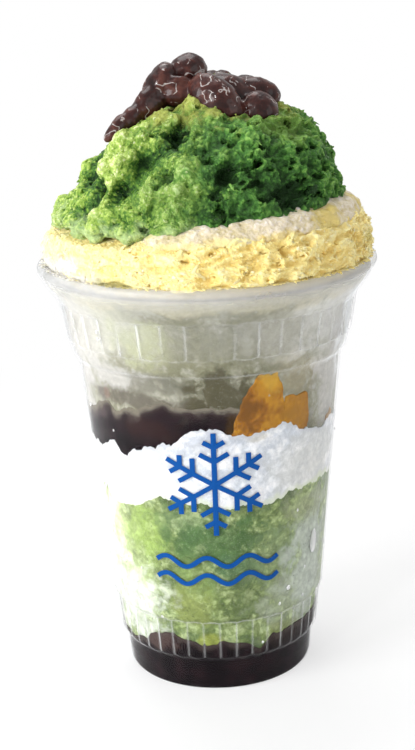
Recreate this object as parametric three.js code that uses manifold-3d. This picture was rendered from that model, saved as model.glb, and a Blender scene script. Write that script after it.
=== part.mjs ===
// A kakigori (shaved ice dessert) in a clear thermoformed cup.
// Millimetres, +Z up, the origin on the table under the middle of the cup.
// Angles run round the cup from the front (-Y) through the right (+X).
import * as THREE from 'three';
import { mergeVertices } from 'three/addons/utils/BufferGeometryUtils.js';
import Module from 'manifold-3d';

// ---- Driving dimensions ----------------------------------------------------------------------

const GAP = 0.3; // left between pieces that touch
const WALL = 0.8; // cup wall
const FLUTES = 40;
const FLUTE_DEPTH = 0.4;

const FOOT_RADIUS = 27.7;
const FOOT_FACE = [24.2, 26.8]; // flat ring that the cup stands on
const FOOT_RECESS = 1.6;
const BASE_TOP = { r: 28.2, z: 9.8 };
const LOWER_BAND = { r0: 30.0, z0: 11.2, r1: 31.3, z1: 23.2 };
const WALL_FOOT = { r: 31.9, z: 24.0 };
const WALL_HEAD = { r: 38.5, z: 97.2 };
const LEDGE = { r: 40.0, z: 99.2 };
const UPPER_BAND = { r0: 41.6, z0: 104.0, r1: 43.3, z1: 114.2 };
const NECK = { r: 45.1, z: 116.6 }; // from here the wall flares out to the rim
const RIM = { under: 47.6, underZ: 120.6, outer: 49.0, midZ: 123.3, top: 47.8, topZ: 125.0, lip: 46.8, lipZ: 124.2 };
const FLOOR = 2.8; // top of the cup's floor

const LAYER_SEGMENTS = 36;
const BULGE = { r: 47.5, z: 129.5 }; // where the yellow ice hangs widest over the rim
const FOOTING = 44.6; // radius of the green ice where it sits on the yellow
const DOME_LEAN = 0.16; // sideways lean of the green dome for each unit of height
const DOME_LEAN_FROM = 140;

const rad = (degrees) => (degrees * Math.PI) / 180;
const mix = (a, b, t) => a + (b - a) * t;

/** A smooth hump of height 1 round one side, centred on an angle and as wide as its spread, in degrees. */
const hump = (angle, centre, spread) => {
  const away = ((((angle - centre) % 360) + 540) % 360) - 180;
  return Math.exp(-((away / spread) ** 2));
};

// ---- Heights where one layer meets the next, at the wall, by angle in degrees ----------------

const baseTop = (angle) => 16.2 + 1.3 * Math.cos(rad(angle + 40)) + 0.5 * Math.sin(rad(5 * angle));
const matchaTop = (angle) => 60.2 + 1.5 * Math.cos(rad(4 * angle + 100));
const milkTop = (angle) => 74.5 + 8.5 * hump(angle, 6, 48);
const beanLayerTop = (angle) => 84 + 5.2 * hump(angle, -12, 62);
const upperIceTop = (angle) => 118.4 + 0.7 * Math.cos(rad(3 * angle));
const yellowTop = (angle) => 134.5 + 4 * hump(angle, 60, 60);
const creamTop = (angle) => yellowTop(angle) + 4.6;

// ---- Solids built ring by ring ---------------------------------------------------------------

/** A geometry's place only, with shared corners, ready to be cut. */
function plain(geometry) {
  geometry.deleteAttribute('normal');
  geometry.deleteAttribute('uv');
  return mergeVertices(geometry, 1e-4);
}

/**
 * A closed solid from a stack of rings. Each ring is a function of the angle in degrees that gives
 * [radius, height], and the stack starts and ends on the axis, at the heights low and high.
 */
function stack(low, rings, high, segments) {
  const points = [0, 0, low];
  const faces = [];
  const last = 1 + rings.length * segments;
  rings.forEach((ring) => {
    for (let i = 0; i < segments; i += 1) {
      const angle = (i * 360) / segments;
      const [r, z] = ring(angle, i);
      points.push(r * Math.sin(rad(angle)), -r * Math.cos(rad(angle)), z);
    }
  });
  points.push(0, 0, high);
  for (let i = 0; i < segments; i += 1) {
    const next = (i + 1) % segments;
    faces.push(0, 1 + next, 1 + i);
    for (let k = 0; k + 1 < rings.length; k += 1) {
      const a = 1 + k * segments;
      const b = a + segments;
      // Quads are split the same way on a layer's top as on the underside that lies on it.
      if (rings[k + 1](0, 0)[0] < rings[k](0, 0)[0]) {
        faces.push(a + i, a + next, b + i, a + next, b + next, b + i);
      } else {
        faces.push(a + i, a + next, b + next, a + i, b + next, b + i);
      }
    }
    faces.push(last - segments + i, last - segments + next, last);
  }
  const geometry = new THREE.BufferGeometry();
  geometry.setAttribute('position', new THREE.Float32BufferAttribute(points, 3));
  geometry.setIndex(faces);
  return geometry;
}

// ---- Cuts ------------------------------------------------------------------------------------

const wasm = await Module();
wasm.setup();

function toSolid(geometry) {
  return new wasm.Manifold(new wasm.Mesh({
    numProp: 3,
    vertProperties: Float32Array.from(geometry.getAttribute('position').array),
    triVerts: Uint32Array.from(geometry.index.array),
  }));
}

/** The geometry of a cut solid, less any sliver that the cut has parted from it. */
function toGeometry(solid) {
  const bodies = solid.decompose().sort((a, b) => b.volume() - a.volume());
  const mesh = bodies[0].getMesh();
  const geometry = new THREE.BufferGeometry();
  geometry.setAttribute('position', new THREE.BufferAttribute(Float32Array.from(mesh.vertProperties), 3));
  geometry.setIndex([...mesh.triVerts]);
  return geometry;
}

/** The geometry less all of the others. */
const without = (geometry, others) => toGeometry(
  others.reduce((left, other) => left.subtract(toSolid(other)), toSolid(geometry)),
);

const shared = (a, b) => toGeometry(toSolid(a).intersect(toSolid(b)));

// ---- The cup ---------------------------------------------------------------------------------

const INNER_WALL = [
  { r: 27.0, z: FLOOR },
  { r: 27.2, z: BASE_TOP.z },
  { r: LOWER_BAND.r0 - WALL, z: LOWER_BAND.z0 + WALL },
  { r: WALL_HEAD.r - WALL, z: WALL_HEAD.z },
  { r: UPPER_BAND.r0 - WALL - 0.1, z: UPPER_BAND.z0 },
  { r: UPPER_BAND.r1 - WALL - 0.1, z: UPPER_BAND.z1 },
  { r: NECK.r - WALL - 0.2, z: NECK.z },
  { r: RIM.lip, z: RIM.lipZ },
];

/** Radius of the cup's inner wall at a height. */
function innerRadius(z) {
  const above = INNER_WALL.findIndex((point) => point.z >= z);
  const [from, to] = [INNER_WALL[Math.max(above - 1, 0)], INNER_WALL[Math.max(above, 1)]];
  return mix(from.r, to.r, (z - from.z) / (to.z - from.z));
}

const contentRadius = (z) => innerRadius(z) - GAP;

function cupGeometry() {
  const round = (r, z) => () => [r, z];
  const fluted = (r, z) => (angle, i) => [r - (i % 2) * FLUTE_DEPTH, z];
  const outside = [
    round(FOOT_FACE[0] - FOOT_RECESS / 2, FOOT_RECESS),
    round(FOOT_FACE[0], 0),
    round(FOOT_FACE[1], 0),
    round(FOOT_RADIUS, 1.2),
    round(BASE_TOP.r, BASE_TOP.z),
    fluted(LOWER_BAND.r0, LOWER_BAND.z0),
    fluted(LOWER_BAND.r1, LOWER_BAND.z1),
    round(WALL_FOOT.r, WALL_FOOT.z),
    round(WALL_HEAD.r, WALL_HEAD.z),
    round(LEDGE.r, LEDGE.z),
    fluted(UPPER_BAND.r0, UPPER_BAND.z0),
    fluted(UPPER_BAND.r1, UPPER_BAND.z1),
    round(NECK.r, NECK.z),
  ];
  const rim = [
    round(RIM.under, RIM.underZ),
    round(RIM.outer - 0.5, RIM.underZ + 0.6),
    round(RIM.outer, RIM.midZ),
    round(RIM.top, RIM.topZ),
  ];
  const inside = INNER_WALL.map(({ r, z }) => round(r, z)).reverse();
  return stack(FOOT_RECESS, [...outside, ...rim, ...inside], FLOOR, 2 * FLUTES);
}

// ---- What fills the cup ----------------------------------------------------------------------

const CORE = 0.55; // share of the radius where a layer's top and bottom have a second ring
const SWELL = 0.8; // how much a layer's top rises to its middle

/** A ring on the surface between two layers, at a share of the radius. */
const onSurface = (height, lift, share) => (angle) => {
  const z = height(angle) + lift;
  return [contentRadius(z) * share, z + SWELL * (1 - share)];
};

const middle = (height, lift) => height(0) + lift + SWELL;

/**
 * A layer of the filling from one surface up to the next, with rings where the wall bends between.
 * A reach over 1 takes it through the wall, for a layer that only cuts.
 */
function layer(low, high, { bends = [], reach = 1 } = {}) {
  const rings = [
    onSurface(low, GAP, CORE),
    onSurface(low, GAP, reach),
    ...bends.map((z) => () => [contentRadius(z), z]),
    onSurface(high, 0, reach),
    onSurface(high, 0, CORE),
  ];
  return stack(middle(low, GAP), rings, middle(high, 0), LAYER_SEGMENTS);
}

function baseBeansGeometry() {
  const start = FLOOR + GAP;
  const rings = [
    () => [contentRadius(start), start],
    () => [contentRadius(BASE_TOP.z), BASE_TOP.z],
    () => [contentRadius(LOWER_BAND.z0 + WALL), LOWER_BAND.z0 + WALL],
    onSurface(baseTop, 0, 1),
    onSurface(baseTop, 0, CORE),
  ];
  return stack(start, rings, middle(baseTop, 0), LAYER_SEGMENTS);
}

/** An upright slice of a disc between two angles, used to part a layer. */
function slice(from, to, low, high) {
  const reach = 60;
  const steps = Math.ceil((to - from) / 15);
  const outline = new THREE.Shape();
  outline.moveTo(0, 0);
  for (let i = 0; i <= steps; i += 1) {
    const angle = rad(mix(from, to, i / steps));
    outline.lineTo(reach * Math.sin(angle), -reach * Math.cos(angle));
  }
  const geometry = plain(new THREE.ExtrudeGeometry(outline, { depth: high - low, bevelEnabled: false }));
  return geometry.translate(0, 0, low);
}

/** A rounded lump: an egg with blunt ends that bends along its length, with a few low swellings. */
function lump({ size, at, turn = [0, 0, 0], bend = 0, swell = 0, blunt = 1, segments = 8, rings = 4 }, grow = 0) {
  const [length, breadth, height] = size.map((side) => side / 2 + grow);
  const ring = (k) => (angle) => {
    const up = Math.PI * ((k + 1) / (rings + 1) - 0.5);
    const waist = Math.cos(up) ** blunt;
    const swelling = 1 + swell * Math.sin(rad(3 * angle) + 2 * up);
    return [waist * swelling, Math.sin(up)];
  };
  const body = stack(-1, Array.from({ length: rings }, (_, k) => ring(k)), 1, segments);
  const place = body.getAttribute('position');
  for (let i = 0; i < place.count; i += 1) {
    const along = place.getZ(i);
    const across = place.getX(i) * breadth + bend * (along * along - 0.4);
    place.setXYZ(i, along * length, across, place.getY(i) * height);
  }
  const [yaw, pitch, roll] = turn.map(rad);
  const matrix = new THREE.Matrix4().makeRotationFromEuler(new THREE.Euler(roll, pitch, yaw, 'ZYX'));
  return body.applyMatrix4(matrix.setPosition(...at));
}

// ---- Fruit and the bean layer that share one level --------------------------------------------

const BEAN_SLICE = [-158, 9]; // the bean layer lies from the back left round to the front
const CHUNK_RADIUS = 31.5; // how far out the chunks of mango lie
const CHUNKS = [
  { angle: 21, z: 87.2, size: [13, 12, 19], turn: [21, 0, 8] },
  { angle: 41, z: 84.4, size: [9, 11, 11], turn: [41, 0, -10] },
  { angle: 72, z: 82.2, size: [12, 11, 11], turn: [72, 12, 0] },
  { angle: 108, z: 82.6, size: [13, 12, 12], turn: [108, 0, 14] },
  { angle: 150, z: 83.4, size: [14, 12, 13], turn: [150, -10, 0] },
];

const chunk = ({ angle, z, size, turn }, grow = 0) => lump({
  size,
  at: [CHUNK_RADIUS * Math.sin(rad(angle)), -CHUNK_RADIUS * Math.cos(rad(angle)), z],
  turn,
  swell: 0.05,
  blunt: 0.6,
}, grow);

// ---- The heap over the rim -------------------------------------------------------------------

const lumpy = (angle, z, deep) => deep * (Math.sin(rad(7 * angle) + 0.31 * z) + 0.8 * Math.sin(rad(11 * angle) - 0.47 * z));

function yellowGeometry() {
  const neck = (NECK.z + RIM.lipZ) / 2;
  const rings = [
    onSurface(upperIceTop, GAP, CORE),
    onSurface(upperIceTop, GAP, 1),
    () => [contentRadius(neck), neck],
    () => [contentRadius(RIM.lipZ) - GAP, RIM.lipZ],
    () => [RIM.lip + 0.4, RIM.topZ + 1.2],
    (angle) => [BULGE.r + lumpy(angle, BULGE.z, 0.35), BULGE.z],
    (angle) => [BULGE.r - 1.4 + lumpy(angle, 133, 0.35), yellowTop(angle) - 2],
    (angle) => [FOOTING - 1, yellowTop(angle)],
    (angle) => [FOOTING * CORE, yellowTop(angle) + SWELL],
  ];
  return stack(middle(upperIceTop, GAP), rings, middle(yellowTop, 0) + SWELL, LAYER_SEGMENTS);
}

const CREAM_SLICE = [-28, 118]; // the cream shows from the front round to the right

function creamGeometry(grow = 0) {
  const rings = [
    (angle) => [FOOTING * CORE, yellowTop(angle) + SWELL + GAP - grow],
    (angle) => [FOOTING - 0.8 + grow, yellowTop(angle) + GAP - grow],
    (angle) => [FOOTING + 0.4 + grow, mix(yellowTop(angle), creamTop(angle), 0.5)],
    (angle) => [FOOTING - 1.6 + grow, creamTop(angle) + grow],
    (angle) => [FOOTING * CORE, creamTop(angle) + grow],
  ];
  const [from, to] = CREAM_SLICE;
  const away = grow; // degrees, which at this radius is a little more than the gap
  const whole = stack(middle(yellowTop, GAP) + SWELL - grow, rings, middle(creamTop, grow), LAYER_SEGMENTS);
  const annulus = without(whole, [stack(120, [() => [26 - grow, 120], () => [26 - grow, 160]], 160, LAYER_SEGMENTS)]);
  return shared(annulus, slice(from - away, to + away, 120, 160));
}

// Radius of the green dome at a few heights, from its shoulder to its crown.
const DOME = [[39.6, 145], [38.2, 149.5], [36.2, 153.5], [33.4, 157.5], [29.6, 161.5], [24, 165], [15.5, 168.6], [7, 170.8]];
const DOME_CROWN = 171.6;

function domeGeometry() {
  const flank = DOME.map(([r, z]) => (angle) => [r + lumpy(angle, z, 0.022 * r), z + 0.4 * Math.sin(rad(5 * angle) + z)]);
  const rings = [
    (angle) => [FOOTING * CORE, yellowTop(angle) + SWELL + GAP],
    (angle) => [FOOTING - 1.4, yellowTop(angle) + GAP],
    (angle) => [FOOTING + lumpy(angle, 138, 0.4), yellowTop(angle) + 2.2],
    (angle) => [FOOTING - 2.6 + lumpy(angle, 141, 0.6), yellowTop(angle) + 5],
    ...flank,
  ];
  const dome = stack(middle(yellowTop, GAP) + SWELL, rings, DOME_CROWN, LAYER_SEGMENTS);
  const place = dome.getAttribute('position');
  for (let i = 0; i < place.count; i += 1) {
    place.setX(i, place.getX(i) + DOME_LEAN * Math.max(place.getZ(i) - DOME_LEAN_FROM, 0));
  }
  return dome;
}

// ---- Sweet beans on top ----------------------------------------------------------------------

const BEANS = [
  { at: [-2.6, -3, 177.4], turn: [-8, 18, 0], size: [11.5, 9, 8.8] },
  { at: [-11, -6, 173.4], turn: [20, -62, 10], size: [11, 7.4, 7] },
  { at: [-5, -12.4, 171.4], turn: [35, 10, 30], size: [10.5, 7.4, 6.8] },
  { at: [4.6, -14.4, 170.4], turn: [-24, 40, 0], size: [15, 9.4, 9] },
  { at: [8.2, 1.6, 175.2], turn: [60, 6, 0], size: [10.5, 7.2, 6.8] },
  { at: [15, -4.2, 171.8], turn: [-12, 12, 0], size: [12.5, 8.2, 7.8] },
  { at: [17, -12, 168.8], turn: [-74, 14, 0], size: [10.5, 8.2, 7.8] },
  { at: [-16.8, -12.6, 169.2], turn: [40, -30, 0], size: [8.4, 5.6, 5] },
  { at: [-20.6, -16, 166.4], turn: [44, -34, 0], size: [7.6, 5.2, 4.4] },
  { at: [-23.8, -19, 163.6], turn: [38, -40, 0], size: [7.2, 4.8, 4] },
  { at: [-9.6, 7.4, 172.2], turn: [-30, 8, 0], size: [11.5, 7.8, 7.4] },
  { at: [2, 11.6, 172], turn: [14, -6, 20], size: [12, 8.2, 7.6] },
  { at: [13, 9, 170.6], turn: [-50, 12, 0], size: [11, 7.6, 7.2] },
];
const SYRUP = { size: [36, 28, 11], at: [-0.5, -1.5, 169.8], swell: 0.1, segments: 12 };

const bean = (spec, grow = 0) => lump({ ...spec, bend: 0.9, swell: 0.03, blunt: 0.8, rings: 5 }, grow);

// ---- Colours and finishes --------------------------------------------------------------------

const finish = (color, roughness, extra = {}) => () => new THREE.MeshStandardMaterial({ color, roughness, metalness: 0, ...extra });

const FINISH = {
  clearPlastic: finish('#e9eef0', 0.15, { transparent: true, opacity: 0.35 }),
  beans: finish('#2e1b22', 0.25),
  glazedBean: finish('#4a2420', 0.12),
  syrup: finish('#2a1412', 0.08),
  paleMatcha: finish('#b9cc84', 0.5),
  milk: finish('#eef0f4', 0.45),
  frost: finish('#d5d8cc', 0.5),
  mango: finish('#d9952a', 0.25),
  yellow: finish('#f6e29a', 0.6),
  cream: finish('#f6efe9', 0.45),
  matcha: finish('#5f9c36', 0.5),
};

// ---- Assembly --------------------------------------------------------------------------------

const part = new THREE.Group();

function add(name, geometry, material) {
  const mesh = new THREE.Mesh(geometry, material());
  mesh.name = name;
  part.add(mesh);
}

add('cup', cupGeometry(), FINISH.clearPlastic);
add('bean_base', baseBeansGeometry(), FINISH.beans);
add('matcha_ice_lower', layer(baseTop, matchaTop), FINISH.paleMatcha);
add('milk_layer', layer(matchaTop, milkTop), FINISH.milk);

const level = layer(milkTop, beanLayerTop);
add('bean_layer', shared(level, slice(...BEAN_SLICE, 60, 110)), FINISH.beans);

const inCup = layer(milkTop, upperIceTop, { bends: [WALL_HEAD.z, UPPER_BAND.z0, UPPER_BAND.z1, NECK.z] });
const roomForBeans = shared(
  layer((angle) => milkTop(angle) - 2, (angle) => beanLayerTop(angle) + GAP, { reach: 1.1 }),
  slice(BEAN_SLICE[0] - 1, BEAN_SLICE[1] + 1, 60, 110),
);
const besideBeans = without(inCup, [roomForBeans]);
CHUNKS.forEach((spec, i) => {
  const neighbours = CHUNKS.slice(0, i).map((other) => chunk(other, GAP));
  add(`mango_${i + 1}`, without(shared(chunk(spec), besideBeans), neighbours), FINISH.mango);
});
add('frosted_ice', without(besideBeans, CHUNKS.map((spec) => chunk(spec, GAP))), FINISH.frost);

add('yellow_ice', yellowGeometry(), FINISH.yellow);
add('cream', creamGeometry(), FINISH.cream);

BEANS.forEach((spec, i) => {
  const neighbours = BEANS.slice(0, i).map((other) => bean(other, GAP));
  const geometry = neighbours.length ? without(bean(spec), neighbours) : bean(spec);
  add(`sweet_bean_${String(i + 1).padStart(2, '0')}`, geometry, FINISH.glazedBean);
});
const beansGrown = BEANS.map((spec) => bean(spec, GAP));
add('bean_syrup', without(lump(SYRUP), beansGrown), FINISH.syrup);
add('matcha_dome', without(domeGeometry(), [creamGeometry(GAP), lump(SYRUP, GAP), ...beansGrown]), FINISH.matcha);

export default part;
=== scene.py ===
"""Looks of a kakigori in a clear fluted cup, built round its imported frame.

Lengths are in metres, +Z is up, and angles run round the cup in degrees from the front (-Y) through the
right (+X).
"""

import logging
import math
from dataclasses import dataclass, replace
from enum import Enum
from typing import Callable, Iterable, Sequence

import bpy
import numpy as np
from mathutils import Matrix, Vector, noise


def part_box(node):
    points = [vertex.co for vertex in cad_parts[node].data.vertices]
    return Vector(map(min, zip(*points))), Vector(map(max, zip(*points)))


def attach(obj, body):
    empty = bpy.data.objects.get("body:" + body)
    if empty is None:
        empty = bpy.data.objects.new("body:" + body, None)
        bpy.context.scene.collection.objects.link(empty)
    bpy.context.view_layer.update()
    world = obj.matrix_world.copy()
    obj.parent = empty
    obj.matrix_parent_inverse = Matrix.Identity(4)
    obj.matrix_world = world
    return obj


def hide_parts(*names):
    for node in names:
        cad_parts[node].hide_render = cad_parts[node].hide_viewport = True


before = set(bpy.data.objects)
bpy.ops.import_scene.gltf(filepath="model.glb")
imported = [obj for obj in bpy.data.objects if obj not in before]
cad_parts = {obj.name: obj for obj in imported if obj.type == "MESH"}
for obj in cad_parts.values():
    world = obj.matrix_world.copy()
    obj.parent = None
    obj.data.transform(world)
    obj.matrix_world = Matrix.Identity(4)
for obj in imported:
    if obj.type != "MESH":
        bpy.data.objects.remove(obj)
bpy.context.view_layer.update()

MM = 0.001
BODY = "root"

Piece = bpy.types.Object
Material = bpy.types.Material
Socket = bpy.types.NodeSocket
Pair = tuple[float, float]
Pairs = Sequence[Pair]
Triple = tuple[float, float, float]
Stops = Sequence[tuple[float, str]]
Height = Callable[[float], float]
Field = Callable[[np.ndarray], np.ndarray]

log = logging.getLogger("kakigori")


# ---- Numbers and colours ---------------------------------------------------------------------


def linear(code: str) -> tuple[float, ...]:
    """A colour as Blender's linear values.

    Args:
        code: A hex colour such as "#f6e29a".

    Returns:
        Red, green, blue and an alpha of 1.
    """
    parts = (int(code[i : i + 2], 16) / 255 for i in (1, 3, 5))
    red, green, blue = (p / 12.92 if p <= 0.04045 else ((p + 0.055) / 1.055) ** 2.4 for p in parts)
    return red, green, blue, 1.0


def mix(a: float, b: float, t: float) -> float:
    """The value a share t of the way from a to b."""
    return a + (b - a) * t


def smooth(x: np.ndarray, start: float, end: float) -> np.ndarray:
    """A soft step from 0 at start to 1 at end."""
    t = np.clip((x - start) / (end - start), 0, 1)
    return t * t * (3 - 2 * t)


def in_mm(*pairs: Pair) -> Pairs:
    """Pairs of lengths given in mm, as metres."""
    return tuple((a * MM, b * MM) for a, b in pairs)


def turns(place: np.ndarray) -> np.ndarray:
    """Angle of each point round the cup, in degrees from the front."""
    return np.degrees(np.arctan2(place[:, 0], -place[:, 1]))


def apart(angle: np.ndarray, centre: float) -> np.ndarray:
    """How far angles are from a centre the short way round, from -180 to 180 degrees."""
    return (angle - centre + 180) % 360 - 180


def hump(angle: np.ndarray, centre: float, spread: float) -> np.ndarray:
    """A smooth hump of height 1 round one side of the cup.

    Args:
        angle: Where to read it, in degrees.
        centre: Its middle, in degrees.
        spread: Its half width, in degrees.

    Returns:
        A value from 0 to 1 for each angle.
    """
    return np.exp(-((apart(angle, centre) / spread) ** 2))


def wrap(turn: np.ndarray, radius: np.ndarray, height: np.ndarray) -> np.ndarray:
    """Places round the cup's axis, from angles in radians, radii and heights."""
    return np.column_stack((radius * np.sin(turn), -radius * np.cos(turn), height))


@dataclass(frozen=True)
class Edge:
    """The uneven edge of a layer round the wall.

    Attributes:
        points: Its height in mm at some angles in degrees.
        rough: How uneven it is.
        tooth: How far apart its teeth are.
        seed: Which teeth it has.
        lift: How far the whole edge is raised.
    """

    points: Pairs
    rough: float = 0.9 * MM
    tooth: float = 4 * MM
    seed: float = 0.0
    lift: float = 0.0

    def at(self, angle: float) -> float:
        """Height of the edge.

        Args:
            angle: Where to read it, in degrees.

        Returns:
            Its height, in metres.
        """
        turn, height = (list(column) for column in zip(*sorted(self.points)))
        turn = [turn[-1] - 360, *turn, turn[0] + 360]
        height = [height[-1], *height, height[0]]
        after = int(np.searchsorted(turn, angle))
        t = (angle - turn[after - 1]) / (turn[after] - turn[after - 1])
        way = math.radians(angle)
        reach = 36 * MM / self.tooth
        place = Vector((math.sin(way) * reach, math.cos(way) * reach, self.seed))
        rise = self.rough * noise.fractal(place, 0.7, 2.1, 5)
        return mix(height[after - 1], height[after], t * t * (3 - 2 * t)) * MM + rise + self.lift


# ---- The wall that everything fits -----------------------------------------------------------


@dataclass(frozen=True)
class Wall:
    """The cup's outer wall, from its foot to its rim."""

    thickness: float = 0.7 * MM
    flutes: int = 40
    flute_depth: float = 0.45 * MM
    foot_edge: float = 24.2 * MM
    foot_recess: float = 1.6 * MM
    floor: float = 2.3 * MM
    lower_band: Pair = (11.2 * MM, 23.2 * MM)
    upper_band: Pair = (104.0 * MM, 114.2 * MM)
    band_ease: float = 0.7 * MM
    ledge: float = 98.9 * MM
    rim_centre: Pair = (47.3 * MM, 123.3 * MM)
    rim_round: float = 1.65 * MM
    bends: Pairs = in_mm(
        (26.8, 0.0), (27.5, 0.5), (27.8, 1.6), (28.2, 6.0), (28.25, 9.6), (28.7, 10.4), (29.7, 11.0),
        (30.1, 11.8), (31.2, 22.8), (31.7, 23.5), (32.0, 24.4), (38.5, 97.0), (39.1, 98.0), (39.9, 98.9),
        (40.2, 99.8), (41.2, 103.2), (41.7, 104.2), (43.3, 114.0), (43.8, 115.0), (45.1, 117.0),
        (46.6, 119.0), (47.5, 120.5), (47.9, 121.5),
    )

    def radius(self, height: np.ndarray | float) -> np.ndarray:
        """Outer radius of the wall at a height, clear of the flutes."""
        r, z = np.array(self.bends).T
        return np.interp(height, z, r)

    def in_band(self, height: np.ndarray) -> np.ndarray:
        """How much a height lies in a fluted band, from 0 to 1."""
        ease = self.band_ease
        return sum(
            smooth(height, low - ease, low + ease) * (1 - smooth(height, high - ease, high + ease))
            for low, high in (self.lower_band, self.upper_band)
        )

    def filling_radius(self, height: np.ndarray, inset: float) -> np.ndarray:
        """Radius of what presses on the wall from inside, a little way into its thickness."""
        return self.radius(height) - inset - self.flute_depth * self.in_band(height)


WALL = Wall()


# ---- Modelling by hand -----------------------------------------------------------------------


def deselect() -> None:
    """Leaves nothing selected, so that the next operator acts on its own piece only."""
    if bpy.context.object and bpy.context.object.mode != "OBJECT":
        bpy.ops.object.mode_set(mode="OBJECT")
    bpy.ops.object.select_all(action="DESELECT")


def pick(piece: Piece) -> None:
    """Selects one piece and makes it the active one."""
    deselect()
    piece.select_set(True)
    bpy.context.view_layer.objects.active = piece


def link(name: str, data: bpy.types.ID | None) -> Piece:
    """A new object of the scene that holds this data."""
    made = bpy.data.objects.new(name, data)
    bpy.context.scene.collection.objects.link(made)
    return made


def settle(piece: Piece, name: str) -> Piece:
    """Names a new piece and moves its place into its mesh.

    Args:
        piece: The piece.
        name: Its name from now on.

    Returns:
        The same piece.
    """
    pick(piece)
    bpy.ops.object.transform_apply(location=True, rotation=True, scale=True)
    piece.name = name
    piece.data.name = name
    return piece


def turned(name: str, profile: Pairs, segments: int) -> Piece:
    """A closed body of revolution, drawn up ring by ring from a disc.

    Args:
        name: Name of the piece.
        profile: Radius and height of each ring, from the underside outwards and round to the top.
        segments: Steps round the axis.

    Returns:
        The new piece.
    """
    deselect()
    radius, height = profile[0]
    quarter = (0, 0, -math.pi / 2)
    bpy.ops.mesh.primitive_circle_add(
        vertices=segments, radius=radius, fill_type="TRIFAN", location=(0, 0, height), rotation=quarter
    )
    piece = settle(bpy.context.object, name)
    bpy.ops.object.mode_set(mode="EDIT")
    bpy.ops.mesh.select_mode(type="VERT")
    bpy.ops.mesh.select_all(action="DESELECT")
    bpy.ops.mesh.select_non_manifold()
    for (r0, z0), (r1, z1) in zip(profile, profile[1:]):
        bpy.ops.mesh.extrude_region_move(TRANSFORM_OT_translate={"value": (0, 0, z1 - z0)})
        bpy.ops.transform.resize(value=(r1 / r0, r1 / r0, 1), center_override=(0, 0, z1))
    bpy.ops.mesh.edge_face_add()
    bpy.ops.mesh.poke()
    bpy.ops.mesh.select_all(action="SELECT")
    bpy.ops.mesh.normals_make_consistent(inside=False)
    bpy.ops.object.mode_set(mode="OBJECT")
    return piece


def places(piece: Piece) -> np.ndarray:
    """The piece's vertices as rows of x, y, z."""
    flat = np.empty(len(piece.data.vertices) * 3)
    piece.data.vertices.foreach_get("co", flat)
    return flat.reshape(-1, 3)


def put(piece: Piece, place: np.ndarray) -> None:
    """Moves the piece's vertices to these places."""
    piece.data.vertices.foreach_set("co", np.ascontiguousarray(place, dtype=np.float32).ravel())
    piece.data.update()


def normals(piece: Piece) -> np.ndarray:
    """The piece's vertex normals as rows of x, y, z."""
    flat = np.empty(len(piece.data.vertices) * 3, np.float32)
    piece.data.vertex_normals.foreach_get("vector", flat)
    return flat.reshape(-1, 3)


def keep(piece: Piece, name: str, value: np.ndarray) -> None:
    """Stores a number for each vertex, for the piece's finish to read."""
    attribute = piece.data.attributes.get(name) or piece.data.attributes.new(name, "FLOAT", "POINT")
    attribute.data.foreach_set("value", np.ascontiguousarray(value, dtype=np.float32))


def modify(piece: Piece, kind: str, **settings: object) -> None:
    """Adds one modifier with these settings and applies it."""
    pick(piece)
    bpy.ops.object.modifier_add(type=kind)
    modifier = piece.modifiers[-1]
    for key, value in settings.items():
        setattr(modifier, key, value)
    bpy.ops.object.modifier_apply(modifier=modifier.name)


def soften(piece: Piece, angle: float = 180) -> Piece:
    """Shades a piece smooth up to an angle in degrees, and returns it."""
    pick(piece)
    bpy.ops.object.shade_smooth_by_angle(angle=math.radians(angle))
    return piece


class Pattern(Enum):
    """Kinds of relief that a surface of ice or food can have."""

    CLOUDS = "CLOUDS"
    CLUMPS = "VORONOI"
    RIDGES = "MUSGRAVE"
    PITS = "pits"
    SWIRL = "swirl"


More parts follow.
